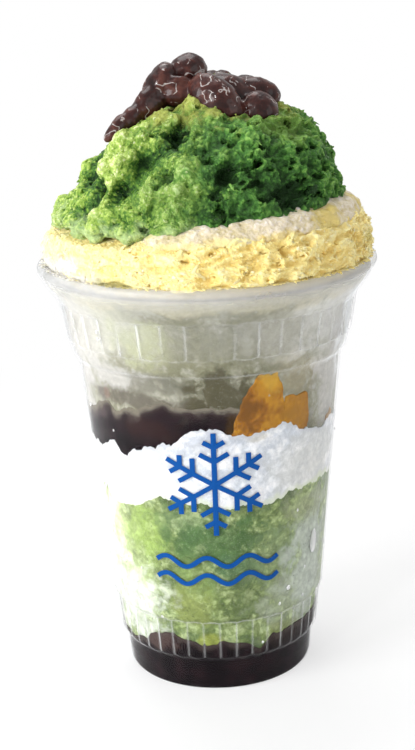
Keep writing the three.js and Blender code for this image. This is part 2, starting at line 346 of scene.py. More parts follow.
@dataclass(frozen=True)
class Relief:
    """One pass of relief over a surface.

    Attributes:
        pattern: Its kind.
        size: How large its features are, in mm.
        depth: How far it reaches in and out, in mm.
        squash: How far its features are drawn out along x, y and z.
        shift: How far the pattern is moved, in mm, so that like pieces differ.
        slant: How far the pattern leans, in degrees.
        group: The vertex group that it stays in, if any.
        amount: How much of the surface has pits.
        tint: How much it adds to the kept "relief", which the finishes paint as shade in the hollows and
            light on the crests.
    """

    pattern: Pattern
    size: float
    depth: float
    squash: Triple = (1, 1, 1)
    shift: float = 0.0
    slant: float = 0.0
    group: str = ""
    amount: float = 0.42
    tint: float = 0.3

    def texture(self) -> bpy.types.Texture:
        """Makes the pass's texture."""
        base = {Pattern.PITS: "CLOUDS", Pattern.SWIRL: "CLOUDS"}.get(self.pattern, self.pattern.value)
        made = bpy.data.textures.new("relief", base)
        made.noise_scale = self.size * MM
        if self.pattern is Pattern.CLUMPS:
            made.distance_metric = "DISTANCE"
            made.noise_intensity = 1.1
            return made
        if self.pattern is Pattern.RIDGES:
            made.musgrave_type = "RIDGED_MULTIFRACTAL"
            made.octaves = 3
            made.dimension_max = 1.0
            made.offset = 1.0
            made.gain = 1.4
            made.noise_intensity = 0.6
            return made
        made.noise_depth = 3
        made.noise_basis = "ORIGINAL_PERLIN"
        if self.pattern is Pattern.SWIRL:
            made.cloud_type = "COLOR"
        if self.pattern is Pattern.PITS:
            made.use_color_ramp = True
            ramp = made.color_ramp
            ramp.elements[0].position = self.amount - 0.09
            ramp.elements[0].color = (0, 0, 0, 1)
            ramp.elements[1].position = self.amount
            ramp.elements[1].color = (1, 1, 1, 1)
        return made

    def press(self, piece: Piece) -> None:
        """Presses the relief into a piece."""
        texture = self.texture()
        guide = link("relief_guide", None)
        guide.scale = self.squash
        shift = self.shift * MM
        guide.location = (shift, shift / 2, -shift)
        guide.rotation_euler = (0, math.radians(self.slant), 0)
        bpy.context.view_layer.update()
        outward = -1.0 if self.pattern is Pattern.CLUMPS else 1.0
        modify(
            piece,
            "DISPLACE",
            texture=texture,
            texture_coords="OBJECT",
            texture_coords_object=guide,
            direction="RGB_TO_XYZ" if self.pattern is Pattern.SWIRL else "NORMAL",
            strength=self.depth * MM * outward,
            mid_level=1.0 if self.pattern is Pattern.PITS else 0.5,
            vertex_group=self.group,
        )
        bpy.data.objects.remove(guide)
        bpy.data.textures.remove(texture)


@dataclass(frozen=True)
class Swell:
    """A clump that stands out of a heap, or a hollow pressed in it.

    Attributes:
        angle: Where it lies round the heap, in degrees.
        height: How high its middle lies, in mm.
        size: How far it spreads, in mm.
        depth: How far it stands out, in mm, or less than 0 for a hollow.
        tall: Its height as a share of its width.
        tint: How much it adds to the kept "relief", which the finishes paint as shade in the hollows and
            light on the crests.
    """

    angle: float
    height: float
    size: float
    depth: float
    tall: float = 1.0
    tint: float = 0.4

    def press(self, piece: Piece) -> None:
        """Presses the swell into a piece."""
        place = places(piece)
        radius = np.hypot(place[:, 0], place[:, 1])
        across = np.radians(apart(turns(place), self.angle)) * radius
        away = np.hypot(across, (place[:, 2] - self.height * MM) / self.tall)
        share = np.exp(-((away / (self.size * MM)) ** 2))
        put(piece, place + normals(piece) * (self.depth * MM * share)[:, None])


def emboss(piece: Piece, passes: Iterable[Relief | Swell]) -> np.ndarray:
    """Presses relief into a piece, and keeps how far each point came out as "relief".

    Args:
        piece: The piece.
        passes: The relief, the largest first.

    Returns:
        The kept value for each vertex, from 0 in the hollows to 1 on the crests.
    """
    level = np.full(len(piece.data.vertices), 0.5)
    for relief in passes:
        before, outward = places(piece), normals(piece)
        relief.press(piece)
        moved = ((places(piece) - before) * outward).sum(axis=1)
        level += relief.tint * moved / (abs(relief.depth) * MM)
    level = np.clip(level, 0, 1)
    keep(piece, "relief", level)
    return level


def rub(piece: Piece, name: str, where: Field) -> None:
    """Gives each vertex a weight in a named group from its place."""
    group = piece.vertex_groups.new(name=name)
    weights = np.round(where(places(piece)), 2)
    for value in np.unique(weights):
        if value > 0:
            group.add(np.nonzero(weights == value)[0].tolist(), float(value), "REPLACE")


@dataclass(frozen=True)
class Scatter:
    """Loose grains laid over a surface and joined as one piece.

    Attributes:
        name: Name of the piece.
        count: How many grains it has.
        size: A grain's length, breadth and height, in mm.
        spread: How unlike in size the grains are.
        lift: How far they lie off the surface, in mm.
        lean: How unevenly they lie on it.
        seed: What their places are drawn from.
    """

    name: str
    count: int
    size: Triple
    spread: float = 0.45
    lift: float = -0.05
    lean: float = 0.8
    seed: int = 1

    def grain(self) -> tuple[np.ndarray, np.ndarray]:
        """Shapes one uneven grain.

        Returns:
            Its corners, about 1 across, and its three-sided faces.
        """
        deselect()
        bpy.ops.mesh.primitive_ico_sphere_add(subdivisions=1, radius=0.5)
        piece = bpy.context.object
        bpy.ops.object.mode_set(mode="EDIT")
        bpy.ops.mesh.select_all(action="SELECT")
        bpy.ops.transform.vertex_random(offset=0.26, seed=self.seed)
        bpy.ops.object.mode_set(mode="OBJECT")
        corners = places(piece)
        faces = np.array([list(f.vertices) for f in piece.data.polygons])
        bpy.data.objects.remove(piece)
        return corners, faces

    def over(self, ground: Piece, where: Field) -> Piece:
        """Lays the grains over a piece.

        Args:
            ground: The piece that carries them.
            where: How thickly they lie at each place, from 0 to 1.

        Returns:
            The grains as one piece, with a random "tone" and the ground's "relief" for each.
        """
        draw = np.random.default_rng(self.seed)
        mesh = ground.data
        mesh.calc_loop_triangles()
        triangles = np.empty(len(mesh.loop_triangles) * 3, np.int32)
        mesh.loop_triangles.foreach_get("vertices", triangles)
        triangles = triangles.reshape(-1, 3)
        place, outward = places(ground), normals(ground)
        corner = place[triangles]
        area = np.linalg.norm(np.cross(corner[:, 1] - corner[:, 0], corner[:, 2] - corner[:, 0]), axis=1)
        chance = area * np.clip(where(corner.mean(axis=1)), 0, 1)
        chosen = draw.choice(len(triangles), self.count, p=chance / chance.sum())
        share = draw.dirichlet((1, 1, 1), self.count)
        spots = (corner[chosen] * share[:, :, None]).sum(axis=1)
        up = outward[triangles[chosen]].mean(axis=1)
        up += draw.normal(0, self.lean, up.shape) * 0.5
        up /= np.linalg.norm(up, axis=1, keepdims=True)
        side = np.cross(up, draw.normal(0, 1, up.shape))
        side /= np.linalg.norm(side, axis=1, keepdims=True)
        third = np.cross(up, side)
        scale = np.exp(draw.normal(0, self.spread, (self.count, 1))).clip(0.4, 2.4)
        corners, faces = self.grain()
        axes = np.stack((side, third, up), axis=2)
        shaped = corners[None] * (np.array(self.size) * MM * scale)[:, None, :]
        points = np.einsum("nij,nkj->nki", axes, shaped) + (spots + up * (self.lift * MM))[:, None, :]
        sides = faces[None] + (np.arange(self.count) * len(corners))[:, None, None]
        piece = from_lists(self.name, points.reshape(-1, 3).tolist(), sides.reshape(-1, 3).tolist())
        keep(piece, "tone", np.repeat(draw.random(self.count), len(corners)))
        under = np.full(len(mesh.vertices), 0.4, np.float32)
        if "relief" in mesh.attributes:
            mesh.attributes["relief"].data.foreach_get("value", under)
        keep(piece, "relief", np.repeat(under[triangles[chosen, 0]], len(corners)))
        return piece


def from_lists(name: str, points: list[list[float]], faces: list[list[int]]) -> Piece:
    """A piece from its corners and the corners of each face."""
    mesh = bpy.data.meshes.new(name)
    mesh.from_pydata(points, [], faces)
    mesh.update()
    return link(name, mesh)


def fit(piece: Piece, slot: str, material: Material, *nodes: str) -> Piece:
    """Dresses a piece and says what it stands for.

    Args:
        piece: The finished piece.
        slot: The record's material slot, or nothing for print; not used.
        material: Its finish.
        nodes: The frame's nodes that it replaces, if any.

    Returns:
        The same piece.
    """
    piece.data.materials.clear()
    piece.data.materials.append(material)
    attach(piece, BODY)
    if nodes:
        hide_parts(*nodes)
    stands_for = ", ".join(nodes) or "nothing"
    log.info("%s: %d faces, stands for %s", piece.name, len(piece.data.polygons), stands_for)
    return piece


# ---- Wiring finishes -------------------------------------------------------------------------


class Wires:
    """Adds and joins the nodes of one shader tree."""

    def __init__(self, tree: bpy.types.NodeTree) -> None:
        """Takes the tree to work in."""
        self.tree = tree

    def add(self, kind: str, settings: dict[str, object] | None = None, **inputs: object) -> bpy.types.Node:
        """Adds a node.

        Args:
            kind: Blender's name of the node, without "ShaderNode".
            settings: Its own properties.
            inputs: Values or sockets for its inputs, by name with _ for a space, or i and a number.

        Returns:
            The node.
        """
        node = self.tree.nodes.new("ShaderNode" + kind)
        for key, value in (settings or {}).items():
            setattr(node, key, value)
        for key, value in inputs.items():
            numbered = key[0] == "i" and key[1:].isdigit()
            target = node.inputs[int(key[1:]) if numbered else key.replace("_", " ")]
            if isinstance(value, Socket):
                self.tree.links.new(value, target)
            else:
                target.default_value = value
        return node

    def maths(self, operation: str, a: object, b: object = 0.0, clamp: bool = False) -> Socket:
        """The result of one sum on two values or sockets."""
        return self.add("Math", {"operation": operation, "use_clamp": clamp}, i0=a, i1=b).outputs[0]

    def plus(self, a: object, b: object) -> Socket:
        """One value and another."""
        return self.maths("ADD", a, b)

    def minus(self, a: object, b: object) -> Socket:
        """One value less another."""
        return self.maths("SUBTRACT", a, b)

    def times(self, a: object, b: object) -> Socket:
        """One value times another."""
        return self.maths("MULTIPLY", a, b)

    def swing(self, value: object, middle: float, by: float) -> Socket:
        """How far a value is from its middle, times a factor."""
        return self.times(self.minus(value, middle), by)

    def blend(self, share: object, a: object, b: object) -> Socket:
        """A colour between two colours or sockets."""
        return self.add("Mix", {"data_type": "RGBA"}, i0=share, i6=a, i7=b).outputs[2]

    def shade(self, colour: object, value: object) -> Socket:
        """A colour made lighter or darker by a value about 0."""
        return self.add("HueSaturation", Value=self.plus(value, 1.0), Color=colour).outputs[0]

    def ramp(self, value: object, stops: Stops) -> Socket:
        """A colour for a value, from stops of a place and a hex colour."""
        node = self.add("ValToRGB", i0=value)
        ramp = node.color_ramp
        while len(ramp.elements) < len(stops):
            ramp.elements.new(1.0)
        for element, (position, code) in zip(ramp.elements, stops):
            element.position = position
            element.color = linear(code)
        return node.outputs[0]

    def spread(self, value: object, low: float, high: float, to: Pair = (0, 1)) -> Socket:
        """A value moved from one range to another, smoothly and kept inside it."""
        ends = {"From_Min": low, "From_Max": high, "To_Min": to[0], "To_Max": to[1]}
        return self.add("MapRange", {"interpolation_type": "SMOOTHSTEP"}, Value=value, **ends).outputs[0]

    def places(self, scale: Triple = (1, 1, 1)) -> Socket:
        """Object coordinates, stretched."""
        where = self.add("TexCoord").outputs["Object"]
        return self.add("Mapping", Vector=where, Scale=scale).outputs[0]

    def noise(self, where: object, size: float, detail: float = 4, roughness: float = 0.55) -> Socket:
        """Soft noise with features of a size in metres."""
        node = self.add("TexNoise", Vector=where, Scale=1 / size, Detail=detail, Roughness=roughness)
        return node.outputs[0]

    def wall_place(self) -> tuple[Socket, Socket]:
        """The angle round the cup in degrees, and the height in mm."""
        where = self.add("SeparateXYZ", Vector=self.places())
        back = self.times(where.outputs["Y"], -1.0)
        turn = self.maths("DEGREES", self.maths("ARCTAN2", where.outputs["X"], back))
        return turn, self.maths("DIVIDE", where.outputs["Z"], MM)

    def attribute(self, name: str) -> Socket:
        """A number that the mesh keeps for each vertex."""
        return self.add("Attribute", {"attribute_name": name}).outputs["Fac"]

    def bump(self, height: object, distance: float, strength: float = 1.0) -> Socket:
        """A normal from a height."""
        return self.add("Bump", Height=height, Distance=distance, Strength=strength).outputs[0]

    def group(self, group: bpy.types.NodeTree, **inputs: object) -> bpy.types.NodeOutputs:
        """Places a shared group with its own values, and gives its outputs."""
        return self.add("Group", {"node_tree": group}, **inputs).outputs


def new_material(name: str) -> tuple[Material, Wires]:
    """An empty material and the wires of its tree."""
    material = bpy.data.materials.new(name)
    material.use_nodes = True
    material.node_tree.nodes.clear()
    return material, Wires(material.node_tree)


def show(wires: Wires, shader: Socket) -> None:
    """Joins a shader to the tree's output."""
    wires.add("OutputMaterial", Surface=shader)


def grain_group() -> bpy.types.NodeTree:
    """The shared look of packed ice grains: blotches, grains, wet clear spots and a height."""
    existing = bpy.data.node_groups.get("ice_grain")
    if existing:
        return existing
    tree = bpy.data.node_groups.new("ice_grain", "ShaderNodeTree")
    tree.interface.new_socket("Size", in_out="INPUT", socket_type="NodeSocketFloat")
    wires = Wires(tree)
    size = tree.nodes.new("NodeGroupInput").outputs["Size"]
    where = wires.add("TexCoord").outputs["Object"]
    pitch = wires.maths("DIVIDE", 1.0, size)
    warp = wires.add("TexNoise", Vector=where, Scale=pitch, Detail=2.0).outputs["Color"]
    shove = wires.add("VectorMath", {"operation": "SCALE"}, i0=warp, Scale=wires.times(size, 0.45))
    moved = wires.add("VectorMath", {"operation": "ADD"}, i0=where, i1=shove.outputs[0]).outputs[0]

    def cloud(place: Socket, finer: float, detail: float, roughness: float = 0.5) -> Socket:
        """Soft noise, so many times finer than the group's size."""
        pattern = {"Scale": wires.times(pitch, finer), "Detail": detail, "Roughness": roughness}
        return wires.add("TexNoise", Vector=place, **pattern).outputs[0]

    def cells(place: Socket, finer: float, feature: str = "F1", output: str = "Distance") -> Socket:
        """Cells, so many times finer than the group's size."""
        scale = wires.times(pitch, finer)
        return wires.add("TexVoronoi", {"feature": feature}, Vector=place, Scale=scale).outputs[output]

    blotch = cloud(moved, 1.0, 5.0, 0.6)
    grain = cloud(moved, 7.0, 4.0, 0.65)
    crumb = cells(moved, 4.0, "SMOOTH_F1")
    facet = cells(moved, 2.6, output="Color")
    spot = wires.spread(cells(where, 7.0), 0.26, 0.12)
    found = {
        "Blotch": wires.spread(blotch, 0.3, 0.7),
        "Grain": wires.spread(grain, 0.3, 0.7),
        "Crumb": wires.spread(crumb, 0.6, 0.1),
        "Facet": wires.add("SeparateColor", Color=facet).outputs[0],
        "Wet": wires.spread(cloud(moved, 2.3, 3.0), 0.52, 0.66),
        "Fleck": wires.spread(cells(moved, 9.0), 0.26, 0.12),
        "Speck": wires.times(spot, wires.spread(cloud(where, 0.8, 3.0), 0.54, 0.64)),
        "Height": wires.plus(wires.times(blotch, 0.6), wires.times(grain, 0.4)),
        "Crust": wires.minus(wires.times(grain, 1.4), crumb),
    }
    for name in found:
        tree.interface.new_socket(name, in_out="OUTPUT", socket_type="NodeSocketFloat")
    leave = tree.nodes.new("NodeGroupOutput")
    for name, value in found.items():
        tree.links.new(value, leave.inputs[name])
    return tree


@dataclass(frozen=True)
class Patch:
    """A patch of another colour: its angle, height, half width in degrees and half height in mm."""

    angle: float
    height: float
    wide: float
    tall: float
    colour: str
    share: float = 0.8


def patched(wires: Wires, colour: Socket, patches: Iterable[Patch], jitter: Socket) -> Socket:
    """Lays patches over a colour.

    Args:
        wires: The tree to work in.
        colour: The colour under the patches.
        patches: The patches, the lowest first.
        jitter: A value about 0 that makes their edges uneven.

    Returns:
        The colour with its patches.
    """
    turn, height = wires.wall_place()
    for patch in patches:
        across = wires.maths("DIVIDE", wires.minus(turn, patch.angle), patch.wide)
        along = wires.maths("DIVIDE", wires.minus(height, patch.height), patch.tall)
        far = wires.plus(wires.maths("POWER", across, 2.0), wires.maths("POWER", along, 2.0))
        far = wires.plus(wires.maths("SQRT", far), wires.times(jitter, 0.9))
        colour = wires.blend(wires.spread(far, 1.3, 0.5, (0, patch.share)), colour, linear(patch.colour))
    return colour


@dataclass(frozen=True)
class HeapIce:
    """Loose shaved ice in the open, with painted light and shade: paler on its crests and at its left,
    darker in its pits and at its right.

    Attributes:
        name: Name of the material.
        lit: Its colours at the left, from the pits to the crests: painted light on the side towards the key
            lamp, with painted shade in the pits.
        far: Its colours at the right: painted shade on the side away from the key lamp.
        turn: Where across the heap the painted light at the left gives way to the painted shade at the
            right.
        sway: How far that place, and the height of the foot and the crown, wander.
        glow: How much light goes through it.
        glow_reach: How far that light goes.
        grain: How large its blotches are.
        foot: Its colour near its foot, if it has another there.
        foot_height: How high that foot reaches.
        crown: Its colour near its top, if it has another there.
        crown_height: How high that crown starts.
        ease: How softly the foot and the crown start.
        patches: Patches of other colours, some of them painted shade.
        crumbly: How uneven the fine grains make its colour.
        crust: How far the fine grains stand out.
        glints: How bright the painted glints on its wet grains are, at its left.
        loose: Whether it is for loose grains, each with its own tone.
    """

    name: str
    lit: Stops
    far: Stops
    turn: Pair = (-24 * MM, 8 * MM)
    sway: Pair = (14 * MM, 7 * MM)
    glow: float = 0.35
    glow_reach: float = 1.6 * MM
    grain: float = 5 * MM
    foot: str = ""
    foot_height: float = 0.0
    crown: str = ""
    crown_height: float = 0.0
    ease: float = 3 * MM
    patches: tuple[Patch, ...] = ()
    crumbly: float = 0.2
    crust: float = 0.9 * MM
    glints: float = 0.0
    loose: bool = False

    def material(self) -> Material:
        """Makes the finish."""
        material, wires = new_material(self.name)
        ice = wires.group(grain_group(), Size=self.grain)
        fine = wires.plus(ice["Grain"], ice["Crumb"])
        # painted shade and light: the kept relief makes the pits darker and the crests paler
        level = wires.plus(wires.attribute("relief"), wires.swing(fine, 1.0, self.crumbly))
        if self.loose:
            tone = wires.swing(wires.attribute("tone"), 0.35, 0.35)
            level = wires.plus(wires.times(level, 0.8), wires.plus(tone, 0.14))
        where = wires.add("SeparateXYZ", Vector=wires.places())
        blotch = wires.minus(ice["Blotch"], 0.5)
        across, up = (wires.times(blotch, reach) for reach in self.sway)
        side = wires.spread(wires.plus(where.outputs["X"], across), *self.turn)
        lit_side = wires.minus(1.0, side)
        # painted light at the left and painted shade at the right
        colour = wires.blend(side, wires.ramp(level, self.lit), wires.ramp(level, self.far))
        height = wires.plus(where.outputs["Z"], up)
        if self.crown:
            above, below = self.crown_height + self.ease, self.crown_height - self.ease
            colour = wires.blend(wires.spread(height, below, above, (0, 0.75)), colour, linear(self.crown))
        if self.foot:
            above, below = self.foot_height + self.ease, self.foot_height - self.ease
            near_foot = wires.times(wires.spread(height, above, below, (0, 0.7)), lit_side)
            colour = wires.blend(near_foot, colour, linear(self.foot))
        colour = patched(wires, colour, self.patches, blotch)
        # painted glints: pale flecks on the crests at the left
        glints = wires.times(ice["Fleck"], wires.spread(level, 0.4, 0.75, (0, self.glints)))
        colour = wires.blend(wires.times(glints, lit_side), colour, linear("#f8fae6"))
        shader = wires.add(
            "BsdfPrincipled",
            Base_Color=colour,
            Roughness=wires.spread(ice["Wet"], 0.0, 1.0, (0.5, 0.25)),
            Specular_IOR_Level=0.2,
            Subsurface_Weight=self.glow,
            Subsurface_Radius=(1.0, 1.0, 0.6),
            Subsurface_Scale=self.glow_reach,
            Normal=wires.bump(ice["Crust"], self.crust, 0.7),
        )
        show(wires, shader.outputs[0])
        return material


@dataclass(frozen=True)
class Fade:
    """A colour that a layer turns to near its lower or upper edge, over a reach in mm."""

    edge: str
    reach: float
    colour: str
    share: float = 0.8


@dataclass(frozen=True)
class PressedIce:
    """Ice, jam or fruit pressed on the inside of the wall, with wet clear spots and small bubbles.

    Attributes:
        name: Name of the material.
        stops: Its colours, from its dark blotches to its pale ones.
        wet: The colour of its wet clear spots.
        bubble: The colour of the bubbles.
        speck: The colour of small dark specks.
        specks: How strong they are.
        patches: Patches of other colours, some of them painted light or shade.
        fades: Colours near its edges, some of them painted shade.
        grain: How large its blotches are.
        wetness: How strong the wet spots are.
        crumbly: How uneven the fine grains make its colour.
        facets: How unlike its flat-faced lumps are.
        glow: How much light goes through it.
        reach: How far that light goes, in mm.
        bump: How uneven its face is, in mm.
        shine: How much its face shines.
    """

    name: str
    stops: Stops
    wet: str
    bubble: str
    speck: str = "#3f5a33"
    specks: float = 0.0
    patches: tuple[Patch, ...] = ()
    fades: tuple[Fade, ...] = ()
    grain: float = 9 * MM
    wetness: float = 0.6
    crumbly: float = 0.12
    facets: float = 0.0
    glow: float = 0.2
    reach: float = 1.0
    bump: float = 0.8
    shine: float = 0.2

    def material(self) -> Material:
        """Makes the finish."""
        material, wires = new_material(self.name)
        ice = wires.group(grain_group(), Size=self.grain)
        fine = wires.swing(wires.plus(ice["Grain"], ice["Crumb"]), 1.0, self.crumbly)
        grit = wires.plus(fine, wires.swing(ice["Facet"], 0.5, self.facets))
        colour = wires.ramp(wires.plus(ice["Blotch"], grit), self.stops)
        colour = wires.blend(wires.times(ice["Wet"], self.wetness), colour, linear(self.wet))
        jitter = wires.plus(wires.minus(ice["Blotch"], 0.5), wires.times(fine, 0.5))
        colour = patched(wires, colour, self.patches, jitter)
        colour = wires.shade(colour, grit)
        for fade in self.fades:
            near = wires.plus(wires.attribute(fade.edge), wires.times(jitter, 0.8 * fade.reach * MM))
            share = wires.spread(near, fade.reach * MM, 0.0, (0, fade.share))
            colour = wires.blend(share, colour, linear(fade.colour))
        colour = wires.blend(wires.times(ice["Fleck"], 0.25), colour, linear(self.bubble))
        colour = wires.blend(wires.times(ice["Speck"], self.specks), colour, linear(self.speck))
        shader = wires.add(
            "BsdfPrincipled",
            Base_Color=colour,
            Roughness=0.5,
            Specular_IOR_Level=self.shine,
            Subsurface_Weight=self.glow,
            Subsurface_Radius=(1.0, 1.0, 0.8),
            Subsurface_Scale=self.reach * MM,
            Normal=wires.bump(ice["Height"], self.bump * MM, 0.5),
        )
        show(wires, shader.outputs[0])
        return material


@dataclass(frozen=True)
class ClearPlastic:
    """Thin clear plastic, misted by the cold, with painted highlights on its creases and painted light as a
    whitish veil on its side towards the key lamp.

    Attributes:
        name: Name of the material.
        index: How strongly it mirrors at a slant, as an index of refraction.
        gloss: How bright its mirror is.
        gleam: How bright its creases are.
        top_band: Where the mist of its upper part starts and ends, in mm.
        top_mist: How dense that mist is.
        rim_band: Where the mist of its rim starts and ends, in mm.
        rim_mist: How dense that mist is.
        graze: How dense it looks where it is seen edge on.
        lit_side_angle: Where its whitened side lies, in degrees: painted light on the side towards the key
            lamp, drawn as a frosty veil.
        lit_side_wide: Half the width of that side, in degrees.
        lit_side_sway: How far the edge of that side wanders, in degrees.
        frost_and_light: How dense that painted light is.
    """

    name: str = "clear_plastic"
    index: float = 1.18
    gloss: float = 0.95
    gleam: float = 0.6
    top_band: Pair = (96, 112)
    top_mist: float = 0.1
    rim_band: Pair = (116, 122)
    rim_mist: float = 0.4
    graze: float = 0.65
    lit_side_angle: float = -90.0
    lit_side_wide: float = 22.0
    lit_side_sway: float = 30.0
    frost_and_light: float = 0.45

    def material(self) -> Material:
        """Makes the finish."""
        material, wires = new_material(self.name)
        turn, height = wires.wall_place()
        cloud = wires.noise(wires.places(), 16 * MM, 5, 0.6)
        streak = wires.noise(wires.places((1, 1, 0.25)), 3.5 * MM, 3)
        streaky = wires.spread(streak, 0.3, 0.7, (0.5, 1.0))
        mist = wires.times(wires.spread(cloud, 0.35, 0.7), streaky)
        top = wires.spread(height, *self.top_band, (0, self.top_mist))
        away = wires.maths("ABSOLUTE", wires.minus(turn, self.lit_side_angle))
        away = wires.plus(away, wires.swing(cloud, 0.5, self.lit_side_sway))
        # painted light: a whitish veil on the side towards the key lamp
        side = wires.spread(away, self.lit_side_wide, 4.0, (0, self.frost_and_light))
        rim = wires.spread(height, *self.rim_band, (0, self.rim_mist))
        rim = wires.times(rim, wires.spread(cloud, 0.3, 0.7, (0.75, 1.0)))
        haze = wires.plus(wires.times(mist, top), wires.times(top, 0.4))
        # painted highlights: the creases and band edges are drawn as white lines in the veil
        lines = wires.times(wires.attribute("gleam"), self.gleam)
        veil = wires.maths("ADD", haze, lines, clamp=True)
        veil = wires.maths("MAXIMUM", veil, wires.maths("MAXIMUM", side, rim))
        facing = wires.minus(1.0, wires.add("NewGeometry").outputs["Backfacing"])
        sliding = wires.add("LayerWeight", Blend=0.5).outputs["Facing"]
        graze = wires.times(wires.spread(sliding, 0.72, 1.0, (0, self.graze)), facing)
        veil = wires.maths("MAXIMUM", veil, graze)
        tint = wires.blend(wires.maths("MAXIMUM", graze, side), linear("#e0e1e1"), linear("#b0b6ba"))
        clear = wires.add("BsdfTransparent", Color=(1, 1, 1, 1))
        # the whitish veil that shows the mist, the painted highlights and the painted light
        frost_and_light = wires.add("BsdfPrincipled", Base_Color=tint, Roughness=0.4, Specular_IOR_Level=0.2)
        misted = wires.add("MixShader", i0=veil, i1=clear.outputs[0], i2=frost_and_light.outputs[0])
        sheen = (self.gloss, self.gloss, self.gloss, 1)
        ripple = wires.bump(cloud, 0.6 * MM, 0.05)
        gloss = wires.add("BsdfGlossy", Color=sheen, Roughness=0.08, Normal=ripple)
        edge = wires.times(wires.add("Fresnel", IOR=self.index).outputs[0], facing)
        surface = wires.add("MixShader", i0=edge, i1=misted.outputs[0], i2=gloss.outputs[0])
        show(wires, surface.outputs[0])
        return material


@dataclass(frozen=True)
class Glaze:
    """Wet, glossy food: a coloured body under a clear coat of syrup.

    Attributes:
        name: Name of the material.
        stops: Its colours, from its dark blotches and hollows to its pale blotches and crests; the darker
            hollows and paler crests are painted shade and light.
        grain: How large its blotches are.
        roughness: How dull the body is.
        coat: How strong the coat is.
        coat_roughness: How dull the coat is.
        glow: How much light goes through it.
        glow_reach: How far that light goes, in mm.
        wrinkle: How uneven the skin is, in mm.
        glints: How strong the thin folds of light are: painted reflections, pale lines mixed into the
            body's colour.
        glint: Their colour.
        fold: How wide they are, as steps of the noise that they follow.
    """

    name: str
    stops: Stops
    grain: float = 3 * MM
    roughness: float = 0.28
    coat: float = 0.3
    coat_roughness: float = 0.08
    glow: float = 0.1
    glow_reach: float = 1.0
    wrinkle: float = 0.25
    glints: float = 0.0
    glint: str = "#b3aca9"
    fold: Pair = (0.022, 0.006)

    def material(self) -> Material:
        """Makes the finish."""
        material, wires = new_material(self.name)
        ice = wires.group(grain_group(), Size=self.grain)
        # painted shade and light: the kept relief makes hollows darker and crests paler
        level = wires.plus(wires.attribute("relief"), wires.swing(ice["Blotch"], 0.5, 0.5))
        fold = wires.noise(wires.places((1, 1, 1.3)), self.grain, 2, 0.4)
        # painted reflections: thin pale lines along the folds
        line = wires.spread(wires.maths("ABSOLUTE", wires.minus(fold, 0.5)), *self.fold)
        line = wires.times(line, wires.spread(ice["Blotch"], 0.5, 0.7, (0, self.glints)))
        colour = wires.blend(line, wires.ramp(level, self.stops), linear(self.glint))
        shader = wires.add(
            "BsdfPrincipled",
            Base_Color=colour,
            Roughness=self.roughness,
            Subsurface_Weight=self.glow,
            Subsurface_Radius=(1.0, 0.4, 0.25),
            Subsurface_Scale=self.glow_reach * MM,
            Specular_IOR_Level=0.12,
            Coat_Weight=self.coat,
            Coat_Roughness=self.coat_roughness,
            Normal=wires.bump(ice["Height"], self.wrinkle * MM, 0.6),
        )
        show(wires, shader.outputs[0])
        return material


@dataclass(frozen=True)
class Ink:
    """Flat screen-print ink with a faintly uneven coat."""

    name: str = "print_ink"
    colour: str = "#074a92"
    thin: str = "#0c529c"

    def material(self) -> Material:
        """Makes the finish."""
        material, wires = new_material(self.name)
        cloud = wires.spread(wires.noise(wires.places(), 2 * MM, 4), 0.3, 0.7, (0, 0.25))
        colour = wires.blend(cloud, linear(self.colour), linear(self.thin))
        shader = wires.add("BsdfPrincipled", Base_Color=colour, Roughness=0.5, Specular_IOR_Level=0.1)
        show(wires, shader.outputs[0])
        return material


@dataclass(frozen=True)
class Water:
    """Clear drops of water."""

    name: str = "water"
    clear: float = 0.45

    def material(self) -> Material:
        """Makes the finish."""
        material, wires = new_material(self.name)
        ripple = wires.bump(wires.noise(wires.places(), 1.5 * MM), 0.1 * MM, 0.3)
        shader = wires.add(
            "BsdfPrincipled",
            Base_Color=(1, 1, 1, 1),
            Roughness=0.02,
            IOR=1.33,
            Transmission_Weight=self.clear,
            Normal=ripple,
        )
        show(wires, shader.outputs[0])
        return material


# ---- The cup ---------------------------------------------------------------------------------


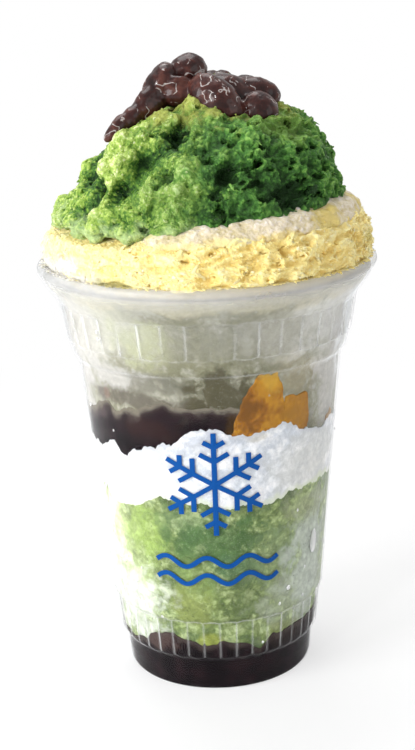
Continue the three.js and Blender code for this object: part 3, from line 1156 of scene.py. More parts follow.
@dataclass
class Cup:
    """The thin clear cup with its foot, fluted bands, ledge and rolled rim.

    Attributes:
        segments_per_flute: Steps round each flute.
        fine: How far apart the rings lie near the wall's bends.
        coarse: How far apart they lie elsewhere.
        near: How near to a bend a ring has to be to count as near.
        gleam_width: Half the width of the light along an edge.
        scallop: How far the ends of the flutes are drawn up and down.
        scallop_reach: How far from an edge that goes.
        foot_top: Under this height the ribs gleam more.
    """

    segments_per_flute: int = 12
    fine: float = 0.32 * MM
    coarse: float = 1.5 * MM
    near: float = 1.2 * MM
    gleam_width: float = 0.22 * MM
    scallop: float = 0.45 * MM
    scallop_reach: float = 1.6 * MM
    foot_top: float = 30 * MM

    def outside(self) -> list[Pair]:
        """The outer profile, with close rings where the wall bends and in the edges of the bands."""
        edges = [z for _, z in WALL.bends]
        heights = set(edges)
        top = WALL.bends[-1][1]
        z = 0.0
        while z < top:
            z += self.fine if min(abs(z - e) for e in edges) < self.near else self.coarse
            heights.add(round(min(z, top), 6))
        ordered = sorted(heights)
        kept = [ordered[0]] + [b for a, b in zip(ordered, ordered[1:]) if b - a > 0.1 * MM]
        return [(float(WALL.radius(h)), h) for h in kept]

    def rim(self) -> list[Pair]:
        """The rolled rim, from under its bead over to the inside."""
        centre_r, centre_z = WALL.rim_centre
        radius, steps = WALL.rim_round, 14
        start, end = math.radians(-66), math.radians(150)
        angles = [mix(start, end, i / steps) for i in range(steps + 1)]
        return [(centre_r + radius * math.cos(a), centre_z + radius * math.sin(a)) for a in angles]

    def inside(self) -> list[Pair]:
        """The inner wall, down into the hollow foot ring and over the raised floor."""
        heights = [z for _, z in reversed(WALL.bends) if z > WALL.floor]
        inset = [WALL.thickness + WALL.flute_depth * float(WALL.in_band(np.array(z))) for z in heights]
        wall = [(float(WALL.radius(z)) - back, z) for z, back in zip(heights, inset)]
        ring = in_mm((27.0, 1.4), (26.5, 0.6), (24.9, 0.6), (24.3, 1.2))
        return [*wall, *ring, (23.5 * MM, WALL.floor), (8 * MM, WALL.floor)]

    def wander(self, turn: np.ndarray, height: np.ndarray, around: float, up: float) -> np.ndarray:
        """Soft noise along the wall.

        Args:
            turn: The angle of each point, in radians.
            height: The height of each point.
            around: How quickly it changes round the cup.
            up: How quickly it changes up the cup.

        Returns:
            A value about 0 for each point.
        """
        spots = zip(np.sin(turn) * around, np.cos(turn) * around, height * up)
        return np.array([noise.noise(Vector(spot)) for spot in spots])

    def flute(self, piece: Piece) -> None:
        """Presses the flutes into the outer wall and marks the creases and edges that gleam."""
        place = places(piece)
        angle = turns(place)
        radius = np.hypot(place[:, 0], place[:, 1])
        height = place[:, 2].copy()
        crease = np.abs(2 * ((angle * WALL.flutes / 360) % 1 - 0.5))
        outside = radius > WALL.radius(height) - 0.3 * WALL.thickness
        (low_foot, low_head), (top_foot, top_head) = WALL.lower_band, WALL.upper_band
        edges = (
            (low_foot, -1, 0.06),
            (low_head, 1, 0.9),
            (top_foot, -1, 0.5),
            (top_head, 1, 0.35),
            (WALL.ledge, 0, 0.5),
        )
        scallop, lines = np.zeros(len(place)), np.zeros(len(place))
        for edge, sign, strength in edges:
            near = np.exp(-(((height - edge) / self.scallop_reach) ** 2))
            scallop += sign * near * self.scallop * (0.4 - crease**2)
            lines += strength * np.exp(-(((height - edge) / self.gleam_width) ** 2))
        band = WALL.in_band(height)
        radius = radius - outside * band * WALL.flute_depth * crease**6
        turn = np.radians(angle)
        slow, quick = self.wander(turn, height, 2.2, 25), self.wander(turn, height, 9, 60)
        low = height < self.foot_top
        uneven = np.clip(0.5 + 0.9 * slow + 0.9 * quick, np.where(low, 0.45, 0.08), 1)
        # painted highlight: the ribs' gleam is stronger on the left, towards the key lamp
        left = 0.7 + 0.8 * smooth(-place[:, 0], 6 * MM, 26 * MM)
        ribs = left * uneven * band * crease**12 * np.where(low, 1.3, 1.0)
        gleam = outside * np.clip(lines * (0.35 + 0.65 * uneven) + ribs, 0, 1)
        moved = wrap(turn, radius, height + outside * scallop)
        centre = np.hypot(place[:, 0], place[:, 1]) < 0.5 * MM
        moved[centre] = place[centre]
        put(piece, moved)
        keep(piece, "gleam", gleam)

    def build(self) -> Piece:
        """Makes the cup and stands it in for the frame's."""
        edge = WALL.foot_edge
        foot = [
            (8 * MM, WALL.foot_recess),
            (edge - 0.8 * MM, WALL.foot_recess),
            (edge - 0.2 * MM, 0.3 * MM),
            (edge + 0.2 * MM, 0.0),
        ]
        profile = foot + self.outside() + self.rim() + self.inside()
        piece = turned("cup", profile, WALL.flutes * self.segments_per_flute)
        self.flute(piece)
        soften(piece, 50)
        return fit(piece, "clear_plastic", ClearPlastic().material(), "cup")


# ---- The filling -----------------------------------------------------------------------------

BASE_EDGE = Edge(
    (
        (-130, 15), (-90, 12.2), (-60, 12.4), (-48, 13.6), (-40, 16.8), (-30, 18.4), (-18, 16.7),
        (-7, 15), (2, 16.7), (12, 15.5), (22, 13), (34, 16.6), (60, 17), (120, 17.5), (180, 15),
    ),
    rough=0.8 * MM,
)
MATCHA_EDGE = Edge(
    (
        (-160, 60), (-110, 60), (-66, 61), (-57, 57.5), (-45, 57.8), (-25, 62.3), (-6, 61),
        (3, 59.5), (18, 59.7), (27, 59.2), (40, 61.6), (65, 61.3), (110, 59), (150, 62),
    ),
    rough=1.1 * MM,
    tooth=3 * MM,
    seed=5,
)
MILK_EDGE = Edge(
    (
        (-130, 77), (-95, 75), (-66, 74), (-51, 76.3), (-43, 73.8), (-36, 75.2), (-28, 78),
        (-18, 79), (-8, 83.4), (2, 83.5), (8, 80.8), (19, 81.5), (28, 82.7), (36, 82.6), (43, 79.7),
        (58, 77.6), (66, 79.2), (100, 76), (140, 79), (180, 75),
    ),
    rough=1.3 * MM,
    tooth=3 * MM,
    seed=1,
)
BEAN_EDGE = Edge(
    (
        (-170, 83), (-120, 86), (-76, 82.5), (-65, 85.5), (-52, 88.6), (-46, 86.6), (-36, 88.6),
        (-20, 90.5), (-8, 89.4), (8, 89.6), (20, 84), (90, 82),
    ),
    rough=0.9 * MM,
    tooth=4 * MM,
    seed=2,
)


@dataclass
class Layer:
    """One layer of the filling, pressed on the wall.

    Attributes:
        name: Name of the piece.
        low: The height of its underside at an angle.
        high: The height of its top at an angle.
        inset: How far its face lies under the wall's outside.
        span: The angles between which it lies on the wall, if it doesn't go all the way round.
        hollow: How far the middle of its underside is raised.
        segments: Steps round the axis.
        ring: How far apart its rings lie.
    """

    name: str
    low: Height
    high: Height
    inset: float
    span: Pair | None = None
    hollow: float = 0.0
    segments: int = 480
    ring: float = 0.8 * MM

    def build(self) -> Piece:
        """Makes the layer as a drum whose edges follow their heights round the wall."""
        count = max(4, math.ceil((self.high(0) - self.low(0)) / self.ring))
        shares = (0.25, 0.6, 0.85)
        profile = [(s, 0.0) for s in shares] + [(1.0, i / count) for i in range(count + 1)]
        profile += [(s, 1.0) for s in reversed(shares)]
        piece = turned(self.name, profile, self.segments)
        place = places(piece)
        share = np.hypot(place[:, 0], place[:, 1])
        angle = turns(place)
        steps, which = np.unique(np.round(angle, 3), return_inverse=True)
        bottom, top = (np.array([edge(float(a)) for a in steps])[which] for edge in (self.low, self.high))
        centre = share < 0.01
        bottom[centre], top[centre] = bottom.mean(), top.mean()
        height = bottom + place[:, 2] * (top - bottom)
        height += self.hollow * ((share < 0.9) & (place[:, 2] < 0.5))
        radius = share * WALL.filling_radius(height, self.inset)
        if self.span:
            radius = self.cut(radius, angle)
        put(piece, wrap(np.radians(angle), radius, height))
        keep(piece, "above", height - bottom)
        keep(piece, "below", top - height)
        return soften(piece, 60)

    def cut(self, radius: np.ndarray, angle: np.ndarray) -> np.ndarray:
        """Draws the layer in where it ends, past the two angles of its span."""
        start, end = self.span
        middle, half = (start + end) / 2, (end - start) / 2
        outside = smooth(np.abs(apart(angle, middle)), half - 4, half + 2)
        return radius * (1 - 0.88 * outside)


BEAN_SPAN = (-158.0, 16.0)

PALE_MATCHA = PressedIce(
    "pale_matcha_ice",
    stops=((0.05, "#53673c"), (0.4, "#6e804b"), (0.65, "#84955d"), (1.0, "#a9b786")),
    crumbly=0.2,
    facets=0.24,
    wet="#62774c",
    bubble="#cfd9b2",
    specks=0.9,
    speck="#33482a",
    fades=(Fade("below", 2.5, "#8da56c", 0.6),),
    patches=(
        # painted light: the pale patches at the left, from -86 to -44 degrees, stand for the key lamp's
        # light on that side
        Patch(-62, 46, 20, 22, "#ccdb9f", 0.85),
        Patch(-86, 34, 30, 40, "#e4e8dc", 0.95),
        Patch(-36, 50, 15, 9, "#9ab45e", 0.75),
        Patch(-44, 34, 12, 9, "#c2d399", 0.75),
        Patch(-12, 55, 20, 5, "#667f54", 0.7),
        Patch(2, 48, 24, 9, "#48683a", 0.85),
        Patch(10, 39, 15, 5, "#567650", 0.7),
        Patch(-10, 36, 10, 7, "#7f9655", 0.7),
        Patch(-14, 28, 12, 7, "#929c54", 0.55),
        Patch(14, 29, 10, 9, "#5d6d42", 0.65),
        Patch(34, 42, 18, 10, "#81936a", 0.6),
        Patch(46, 27, 24, 11, "#a2ab92", 0.8),
        Patch(56, 38, 18, 20, "#b2baae", 0.9),
        Patch(50, 55, 16, 5, "#979f7b", 0.7),
        Patch(-54, 27, 23, 13, "#d8dfce", 0.95),
        Patch(-4, 16.5, 8, 2.5, "#9aa244", 0.6),
        Patch(38, 17, 12, 3, "#838a47", 0.5),
    ),
    grain=6 * MM,
)
MILK = PressedIce(
    "milk_ice",
    stops=((0.15, "#c6ccd4"), (0.45, "#dcdfe3"), (0.8, "#eeeeee")),
    wet="#bcc4d0",
    bubble="#f4f4f4",
    patches=(
        # painted light: the warm white patch at the left; painted shade: the grey patches near the top
        # middle and at the right
        Patch(-72, 66, 40, 12, "#fbfaf4", 0.9),
        Patch(-4, 79, 14, 4, "#b4bac4", 0.7),
        Patch(52, 68, 24, 10, "#cfcfca", 0.7),
        Patch(20, 80, 5, 1.5, "#b9b3a2", 0.5),
    ),
    # the grey fade near its top edge is painted shade
    fades=(Fade("above", 2.2, "#d3dabf", 0.7), Fade("below", 1.5, "#bdbfc4", 0.6)),
    grain=7 * MM,
    wetness=0.35,
    specks=0.25,
    speck="#a5a08e",
)
FROSTED = PressedIce(
    "frosted_ice",
    stops=((0.1, "#706f57"), (0.5, "#85846e"), (0.9, "#a09f90")),
    wet="#79785b",
    bubble="#b9b9b0",
    specks=0.5,
    speck="#5f614a",
    patches=(
        # painted light: the pale grey patches at the far left, from -88 to -48 degrees, stand for the key
        # lamp's light on that side
        Patch(-88, 104, 34, 30, "#bfbdb8", 0.95),
        Patch(-54, 110, 16, 14, "#c9c7bf", 0.85),
        Patch(-36, 112, 14, 10, "#c2c2b0", 0.7),
        Patch(-27, 108, 12, 8, "#adb08a", 0.8),
        Patch(-34, 95, 20, 5, "#7f7d72", 0.8),
        Patch(-30, 90.5, 34, 2.5, "#5f594e", 0.85),
        Patch(-51.5, 90.8, 2.2, 1.8, "#7d675c", 0.7),
        Patch(-14, 95, 9, 4, "#6f6e62", 0.7),
        Patch(3, 106, 20, 9, "#7f7e64", 0.7),
        Patch(4, 93, 15, 7, "#4a4630", 0.9),
        Patch(-48, 98, 16, 4, "#bcbab4", 0.8),
        Patch(34, 110, 18, 8, "#b3b1a3", 0.75),
        Patch(40, 97, 12, 6, "#a9a188", 0.6),
        Patch(54, 111, 18, 13, "#d3d3cc", 0.85),
        Patch(64, 98, 14, 24, "#bfbdb8", 0.85),
        Patch(82, 112, 22, 18, "#e6e9e9", 0.95),
        Patch(10, 120, 70, 3, "#bfb99f", 0.7),
    ),
    fades=(Fade("above", 7, "#4a4636", 0.5),),
    grain=6 * MM,
    wetness=0.4,
)
BEAN_JAM = PressedIce(
    "bean_jam",
    stops=((0.15, "#0e080c"), (0.5, "#160e12"), (0.85, "#22161a")),
    wet="#10090d",
    bubble="#33262a",
    patches=(
        Patch(-38, 16, 13, 4, "#503f3c", 0.8),
        Patch(48, 17, 22, 5, "#281d1b", 0.8),
        Patch(-62, 86, 12, 4, "#5a4c4e", 0.5),
        Patch(-30, 83, 14, 4, "#33201f", 0.6),
        Patch(11, 85, 6, 6, "#3f2d16", 0.9),
    ),
    fades=(Fade("below", 4.6, "#4f4642", 0.8), Fade("below", 2.2, "#7c7769", 0.8)),
    grain=5 * MM,
    wetness=0.4,
    glow=0.0,
    bump=0.2,
    shine=0.05,
)
FOOT_JAM = replace(
    BEAN_JAM, name="foot_jam", fades=(Fade("below", 2.4, "#4c423e", 0.7),), bubble="#160e12", bump=0.02
)
MANGO = PressedIce(
    "mango",
    stops=((0.1, "#744a12"), (0.45, "#946018"), (0.8, "#b4801e")),
    wet="#835415",
    bubble="#ae7f2c",
    patches=(
        Patch(26, 96, 7, 4, "#c69c36", 0.85),
        Patch(38, 85, 8, 6, "#ac7a1c", 0.7),
        Patch(66, 80, 8, 8, "#a98d68", 0.9),
    ),
    grain=6 * MM,
    wetness=0.3,
    glow=0.3,
    reach=2.0,
)


@dataclass(frozen=True)
class Chunk:
    """A chunk of fruit pressed on the wall.

    Attributes:
        angle: Where it lies, in degrees.
        size: Its width along the wall, its depth and its height.
        drop: How far it lies under its place in the frame.
        taper: Its width at the top as a share of its width at the foot.
        lean: How far its top leans along the wall.
    """

    angle: float
    size: Triple
    drop: float = 0.0
    taper: float = 0.8
    lean: float = 0.0


CHUNKS = (
    Chunk(19.5, (17.5 * MM, 11 * MM, 20 * MM), 0.0, 0.3, 3.0 * MM),
    Chunk(38.5, (13 * MM, 11 * MM, 12.5 * MM), 0.0, 0.75, 0.5 * MM),
    Chunk(66, (8 * MM, 10 * MM, 6 * MM), 3.4 * MM),
    Chunk(108, (14 * MM, 12 * MM, 13 * MM)),
    Chunk(150, (15 * MM, 12 * MM, 14 * MM)),
)


@dataclass
class Filling:
    """Everything between the cup's floor and its rim.

    Attributes:
        chunk_inset: How far a fruit's face lies under the wall's outside.
        chunk_round: How far its corners are rounded.
        pressed: How far its round side is flattened on the wall.
    """

    chunk_inset: float = 0.42 * MM
    chunk_round: float = 2.4 * MM
    pressed: float = 0.8 * MM

    def fruit(self, number: int, chunk: Chunk, material: Material) -> Piece:
        """Makes one chunk of mango from a rounded block, bent to the wall with its face flat on it.

        Args:
            number: Which chunk of the frame it stands for.
            chunk: Its place and size.
            material: Its finish.

        Returns:
            The piece.
        """
        node = f"mango_{number}"
        low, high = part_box(node)
        deselect()
        bpy.ops.mesh.primitive_cube_add(size=1)
        piece = bpy.context.object
        piece.scale = chunk.size
        settle(piece, node + "_flesh")
        modify(piece, "BEVEL", width=self.chunk_round, segments=3)
        modify(piece, "SUBSURF", levels=4, render_levels=4)
        rise = places(piece)[:, 2] / chunk.size[2] + 0.5
        emboss(
            piece,
            (
                Relief(Pattern.SWIRL, 6, 4, shift=number * 11),
                Relief(Pattern.CLOUDS, 2.2, 1.4, (1, 1, 1.5), shift=number * 5),
            ),
        )
        flat = places(piece)
        along = flat[:, 0] * (1 + (chunk.taper - 1) * rise**2) + chunk.lean * rise
        depth = np.maximum(flat[:, 1] + chunk.size[1] / 2 - self.pressed, 0)
        height = flat[:, 2] + (low.z + high.z) / 2 - chunk.drop
        wall = WALL.filling_radius(height, self.chunk_inset)
        put(piece, wrap(math.radians(chunk.angle) + along / wall, wall - depth, height))
        return fit(soften(piece), "mango", material, node)

    def build(self) -> None:
        """Makes the layers from the foot up, and the fruit."""
        base = Layer("bean_base_fill", lambda a: 0.35 * MM, BASE_EDGE.at, 0.2 * MM, hollow=1.9 * MM)
        fit(base.build(), "bean_jam", FOOT_JAM.material(), "bean_base")
        under = replace(BASE_EDGE, rough=1.6 * MM, seed=8, lift=-0.8 * MM)
        over = replace(MATCHA_EDGE, lift=2.5 * MM)
        lower = Layer("matcha_lower_fill", under.at, over.at, 0.5 * MM)
        fit(lower.build(), "pale_matcha_ice", PALE_MATCHA.material(), "matcha_ice_lower")
        milk = Layer("milk_fill", MATCHA_EDGE.at, MILK_EDGE.at, 0.35 * MM)
        fit(milk.build(), "milk_ice", MILK.material(), "milk_layer")
        under = replace(MILK_EDGE, lift=-3 * MM)
        beans = Layer("bean_layer_fill", under.at, BEAN_EDGE.at, 0.5 * MM, span=BEAN_SPAN)
        fit(beans.build(), "bean_jam", BEAN_JAM.material(), "bean_layer")
        mango = MANGO.material()
        for number, chunk in enumerate(CHUNKS, 1):
            self.fruit(number, chunk, mango)
        under = replace(MILK_EDGE, lift=-2 * MM)
        frosted = Layer("frosted_fill", under.at, lambda a: 121.2 * MM, 0.65 * MM)
        fit(frosted.build(), "frosted_ice", FROSTED.material(), "frosted_ice")


# ---- The heap over the rim -------------------------------------------------------------------

# In each heap ice, lit is painted light at the left, far is painted shade at the right, and both are darker
# in the pits as painted shade.
YELLOW = HeapIce(
    "yellow_ice",
    lit=((0.05, "#dab95e"), (0.3, "#f0d786"), (0.52, "#faeaaa"), (0.85, "#fef8d0")),
    far=((0.05, "#cda64c"), (0.3, "#ecd07c"), (0.55, "#fae8a0"), (0.85, "#fff8cc")),
    grain=4 * MM,
    glow=0.3,
    glow_reach=0.9 * MM,
    crumbly=0.14,
    crust=0.4 * MM,
    patches=(
        Patch(-76, 122, 44, 9, "#dcdad3", 0.95),
        Patch(-30, 125.5, 9, 1.8, "#a09a55", 0.7),
        Patch(76, 131, 8, 1.6, "#a9a04a", 0.5),
    ),
)
MATCHA = HeapIce(
    "matcha_ice",
    lit=((0.05, "#1b3a15"), (0.28, "#4f7c2f"), (0.48, "#90b048"), (0.7, "#c6dc78"), (0.92, "#eff6c4")),
    far=((0.05, "#17340f"), (0.3, "#325b24"), (0.55, "#4d8035"), (0.9, "#88b657")),
    foot="#b4ca92",
    foot_height=139 * MM,
    glow=0.25,
    glow_reach=0.8 * MM,
    crumbly=0.28,
    glints=0.9,
    crown="#b0b258",
    crown_height=166.5 * MM,
    patches=(
        # painted shade: a dark patch in the hollow at 33 degrees
        Patch(33, 146, 14, 3.5, "#1c3817", 0.5),
        Patch(-20, 147, 14, 6, "#6b8f46", 0.4),
        Patch(54, 163.5, 26, 4.5, "#7b9c45", 0.5),
    ),
)
CREAM = HeapIce(
    "cream",
    lit=((0.05, "#b5a876"), (0.3, "#d9cba0"), (0.55, "#ebe0c8"), (0.85, "#f8f2ea")),
    far=((0.05, "#b0a272"), (0.3, "#d6c79c"), (0.55, "#eadecb"), (0.85, "#f9f3ec")),
    crust=0.5 * MM,
    grain=4 * MM,
    glow=0.4,
    patches=(
        Patch(49, 138, 7.5, 6, "#dcc77a", 0.95),
        Patch(84, 139, 10, 7, "#dcc77a", 0.95),
        Patch(-60, 137, 36, 7, "#bfc272", 0.9),
        Patch(-13, 134.2, 12, 1.9, "#f4e2a4", 0.9),
        Patch(8, 134.9, 12, 1.9, "#f3e0a0", 0.9),
        Patch(28, 135.8, 12, 1.9, "#f0da96", 0.9),
    ),
)


@dataclass
class Heap:
    """Yellow ice over the rim, cream on it, and the green dome.

    Attributes:
        steps: Steps round the axis before the faces are refined.
        detail: How often the faces are refined.
        hidden_pitch: How far apart the rings of the underside may be.
        tilt: How much higher the layers lie at the right than at the left.
        lean: How far the dome leans to the right, as a share of its height.
        lean_from: Where it starts to lean.
    """

    steps: int = 112
    detail: int = 2
    hidden_pitch: float = 8 * MM
    tilt: float = 3.2 * MM
    lean: float = 0.16
    lean_from: float = 140 * MM

    def mound(self, name: str, profile: Pairs, pitch: float) -> Piece:
        """A smooth heap to press relief into.

        Args:
            name: Name of the piece.
            profile: Its rings, as for a turned body, in mm.
            pitch: How far apart its rings may be before they are refined.

        Returns:
            The piece, with fine faces.
        """
        scaled = [(r * MM, z * MM) for r, z in profile]
        full = [scaled[0]]
        for (r0, z0), (r1, z1) in zip(scaled, scaled[1:]):
            reach = pitch if len(full) > 1 else self.hidden_pitch
            count = max(1, math.ceil(math.hypot(r1 - r0, z1 - z0) / reach))
            full += [(mix(r0, r1, i / count), mix(z0, z1, i / count)) for i in range(1, count + 1)]
        piece = turned(name, full, self.steps)
        modify(piece, "SUBSURF", levels=self.detail, render_levels=self.detail)
        return piece

    def raised(self, place: np.ndarray) -> np.ndarray:
        """How much higher the layers lie at each point, most at the right."""
        return self.tilt * hump(turns(place), 60, 60)

    def yellow(self) -> Piece:
        """Makes the yellow ice that bulges over the rim."""
        profile = (
            (12, 120.8), (44.2, 120.8), (45, 122.4), (45.4, 124), (46, 125), (46.8, 126), (47.1, 127.4),
            (47, 129.4), (46.2, 132.2), (44.6, 134.6), (36, 136.5), (12, 137),
        )
        piece = self.mound("yellow_heap", profile, 1.9 * MM)
        place = places(piece)
        place[:, 2] += smooth(place[:, 2], 126 * MM, 134 * MM) * self.raised(place)
        lip = np.exp(-(((place[:, 2] - 125.6 * MM) / (1.2 * MM)) ** 2)) * hump(turns(place), 4, 44)
        place[:, :2] *= (1 + 0.04 * lip)[:, None]
        put(piece, place)

        def outdoors(p: np.ndarray) -> np.ndarray:
            """How much each point lies above the rim."""
            return smooth(p[:, 2], 124.0 * MM, 125.6 * MM)

        rub(piece, "open", outdoors)
        rub(piece, "flaky", lambda p: outdoors(p) * smooth(p[:, 0], -44 * MM, 2 * MM))
        emboss(
            piece,
            (
                Relief(Pattern.SWIRL, 10, 3.0, (1.4, 1.4, 0.6), group="open", tint=0.1),
                Relief(Pattern.CLUMPS, 5, 1.4, (1.3, 1.3, 0.7), group="open", tint=0.2),
                Relief(Pattern.RIDGES, 3.4, 1.5, (1.5, 1.5, 0.6), slant=-10, group="flaky", tint=0.3),
                Relief(Pattern.PITS, 2.8, 1.8, (1.4, 1.4, 0.7), group="flaky", amount=0.36, tint=0.3),
                Relief(Pattern.PITS, 1.8, 1.2, (1.2, 1.2, 0.8), group="open", amount=0.34, tint=0.3),
                Relief(Pattern.CLOUDS, 1.2, 0.8, (1.2, 1.2, 0.8), group="open", tint=0.25),
            ),
        )
        return fit(piece, "yellow_ice", YELLOW.material(), "yellow_ice")

    def cream(self) -> Piece:
        """Makes the cream that shows between the yellow and the green ice."""
        profile = (
            (14, 132.4), (42, 132.6), (44.9, 133.4), (45, 134.6), (44, 136.2), (42.8, 138), (40, 139.2),
            (14, 139.8),
        )
        piece = self.mound("cream_ring", profile, 1.6 * MM)
        place = places(piece)
        place[:, 2] += self.raised(place)
        away = np.abs(apart(turns(place), 45))
        place[:, :2] *= (1 - 0.16 * smooth(away, 60, 78))[:, None]
        put(piece, place)
        emboss(
            piece,
            (
                Relief(Pattern.CLOUDS, 8, 3, tint=0.3),
                Relief(Pattern.CLUMPS, 3.6, 0.7, tint=0.25),
                Relief(Pattern.PITS, 2, 0.7, amount=0.34, tint=0.3),
                Relief(Pattern.CLOUDS, 1.1, 0.5, tint=0.3),
            ),
        )
        return fit(piece, "cream", CREAM.material(), "cream")

    def dome(self) -> Piece:
        """Makes the green dome: granular clumps on its left, torn fibres on its right."""
        profile = (
            (12, 136), (40, 135.6), (43.2, 136.4), (43.7, 138.2), (42, 140.6), (39.8, 145),
            (38.4, 149.5), (36.4, 153.5), (33.6, 157.5), (29.6, 161.5), (24, 165), (15.5, 168.6),
            (8, 170.4), (3, 170.8),
        )
        piece = self.mound("matcha_heap", profile, 1.75 * MM)
        place = places(piece)
        place[:, 2] += (1 - smooth(place[:, 2], 136 * MM, 150 * MM)) * self.raised(place)
        tucked = (1 - smooth(place[:, 2], 139 * MM, 145 * MM)) * hump(turns(place), 46, 50)
        place[:, :2] *= (1 - 0.05 * tucked - 0.05 * hump(turns(place), 90, 55))[:, None]
        put(piece, place)

        def torn(p: np.ndarray) -> np.ndarray:
            """How much each point lies in the torn right half."""
            return smooth(p[:, 0], -8 * MM, 8 * MM)

        rub(piece, "clumped", lambda p: 1 - torn(p))
        rub(piece, "fibrous", lambda p: torn(p) * smooth(p[:, 2] - self.raised(p), 136 * MM, 141 * MM))
        emboss(
            piece,
            (
                Relief(Pattern.SWIRL, 15, 4, tint=0.0),
                # The last number of each swell is how far it moves the kept relief; the hollows' darker
                # colour is painted shade.
                Swell(-48, 156, 6.5, 4.0, 1.3, 0.2),
                Swell(-15, 158.5, 5, 3.4, 1.2, 0.2),
                Swell(-32, 155, 3.2, -2.6, 2.2, 0.1),
                Swell(-22, 163.6, 4.2, -7, 0.8, 0.8),
                Swell(-50, 149, 3.0, -6.5, 1.0, 0.7),
                Swell(-36, 147.5, 2.6, -6.0, 0.9, 0.7),
                Swell(-62, 152, 3.2, -3.5, 1.6, 0.5),
                Swell(-37, 142, 5.5, 2.4, 0.9, 0.1),
                Swell(-60, 142, 5, 1.8, 0.9, 0.1),
                Swell(-48, 142, 2.2, -2.6, 1.8, 0.3),
                Swell(-24, 148.5, 2.6, 2.4, 1.0, 0.2),
                Swell(-14, 149.5, 2.4, 2.2, 1.2, 0.2),
                Swell(-19, 152.5, 2.4, -2.4, 1.2, 0.3),
                Swell(6.6, 153.5, 2.0, -3.4, 1.2, 0.6),
                Swell(4, 149, 2.0, -2.2, 1.2, 0.4),
                Swell(20, 150.5, 3.2, -3.2, 0.8, 0.5),
                Swell(33, 146, 6, -2.6, 0.5, 0.5),
                Swell(18, 160, 5.5, 1.4, 1.0, 0.1),
                Swell(-14, 169, 7.5, 2.6, 1.0, 0.15),
                Swell(-45, 163, 4.2, 1.7, 1.0, 0.1),
                Swell(-98, 161.5, 12, -6.0, 1.0, 0.0),
                Swell(-92, 150, 8, -1.2, 1.2, 0.0),
                Swell(95, 146, 10, -1.2, 1.0, 0.0),
                Swell(84, 163, 8, -1.6, 1.0, 0.0),
                Relief(Pattern.CLUMPS, 9, 4.6, (1, 1, 1.2), group="clumped", tint=0.45),
                Relief(Pattern.CLUMPS, 4.2, 2.0, group="clumped", tint=0.3),
                Relief(Pattern.PITS, 2.6, 1.4, group="clumped", amount=0.36, tint=0.3),
                Relief(Pattern.CLOUDS, 1.2, 0.8, group="clumped", tint=0.35),
                Relief(Pattern.RIDGES, 9, 2.8, (1.4, 1, 0.9), slant=28, group="fibrous", tint=0.35),
                Relief(Pattern.PITS, 6, 3.6, (1.2, 1, 1), slant=30, group="fibrous", amount=0.4, tint=0.35),
                Relief(Pattern.RIDGES, 3.4, 1.5, (1.3, 1, 0.9), slant=-25, group="fibrous", tint=0.35),
                Relief(Pattern.PITS, 2.6, 1.7, group="fibrous", amount=0.4, tint=0.3),
            ),
        )
        place = places(piece)
        place[:, 0] += self.lean * np.clip(place[:, 2] - self.lean_from, 0, None)
        put(piece, place)
        return fit(piece, "matcha_ice", MATCHA.material(), "matcha_dome")

    def grains(self, yellow: Piece, dome: Piece, cup: Piece) -> None:
        """Lays loose grains and shreds of ice over the heap, and flakes over the cup's rim."""
        green = replace(MATCHA, name="matcha_grain", loose=True, grain=3 * MM).material()
        pale = replace(YELLOW, name="yellow_flake", loose=True, grain=3 * MM).material()

        def granular(p: np.ndarray) -> np.ndarray:
            """How thickly grains lie on the dome, most on its left."""
            return 0.1 + 0.9 * (1 - smooth(p[:, 0], -12 * MM, 6 * MM))

        def torn(p: np.ndarray) -> np.ndarray:
            """How thickly shreds lie on the dome, most on its right."""
            return 0.1 + 0.9 * smooth(p[:, 0], -8 * MM, 12 * MM)

        def outdoors(p: np.ndarray) -> np.ndarray:
            """How much of the yellow ice lies above the rim."""
            return smooth(p[:, 2], 124.6 * MM, 125.4 * MM)

        def flaky(p: np.ndarray) -> np.ndarray:
            """How thickly shreds lie on the yellow ice, least at its left."""
            return outdoors(p) * smooth(p[:, 0], -40 * MM, 10 * MM)

        loose = (
            (Scatter("matcha_grains", 4200, (0.65, 0.5, 0.45), seed=4), dome, granular),
            (Scatter("matcha_shreds", 900, (1.9, 0.35, 0.25), lean=0.35, seed=9), dome, torn),
            (Scatter("yellow_shreds", 900, (1.7, 0.5, 0.25), lean=0.35, seed=6), yellow, flaky),
            (Scatter("yellow_crumbs", 4200, (0.65, 0.5, 0.4), lean=0.6, seed=7), yellow, outdoors),
            (Scatter("rim_flakes", 900, (1.3, 0.5, 0.3), lean=0.12, seed=11, lift=0.1), cup, self.on_rim),
        )
        for scatter, ground, where in loose:
            slot, finish = ("matcha_ice", green) if ground is dome else ("yellow_ice", pale)
            fit(scatter.over(ground, where), slot, finish)

    def on_rim(self, place: np.ndarray) -> np.ndarray:
        """How thickly flakes of yellow ice lie on the rim at each point, most at the front."""
        radius, angle = np.hypot(place[:, 0], place[:, 1]), turns(place)
        front = 0.25 + 0.75 * np.exp(-(((angle - 8) / 42) ** 2))
        return front * (radius < 47.9 * MM) * (radius > 45.6 * MM) * (place[:, 2] > 124.3 * MM)

    def build(self, cup: Piece) -> None:
        """Makes the heap from the cup's rim up."""
        yellow = self.yellow()
        self.cream()
        dome = self.dome()
        self.grains(yellow, dome, cup)


# ---- Sweet beans -----------------------------------------------------------------------------


@dataclass(frozen=True)
class Bean:
    """One cooked bean.

    Attributes:
        turn: How it lies, as yaw, pitch and roll in degrees.
        size: Its length, breadth and height, in mm.
        move: How far it lies from its place in the frame, in mm.
        dent: How far its front has sunk in, in mm; the dent is also painted darker, as shade.
    """

    turn: Triple
    size: Triple
    move: Triple = (0, 0, 0)
    dent: float = 0.0


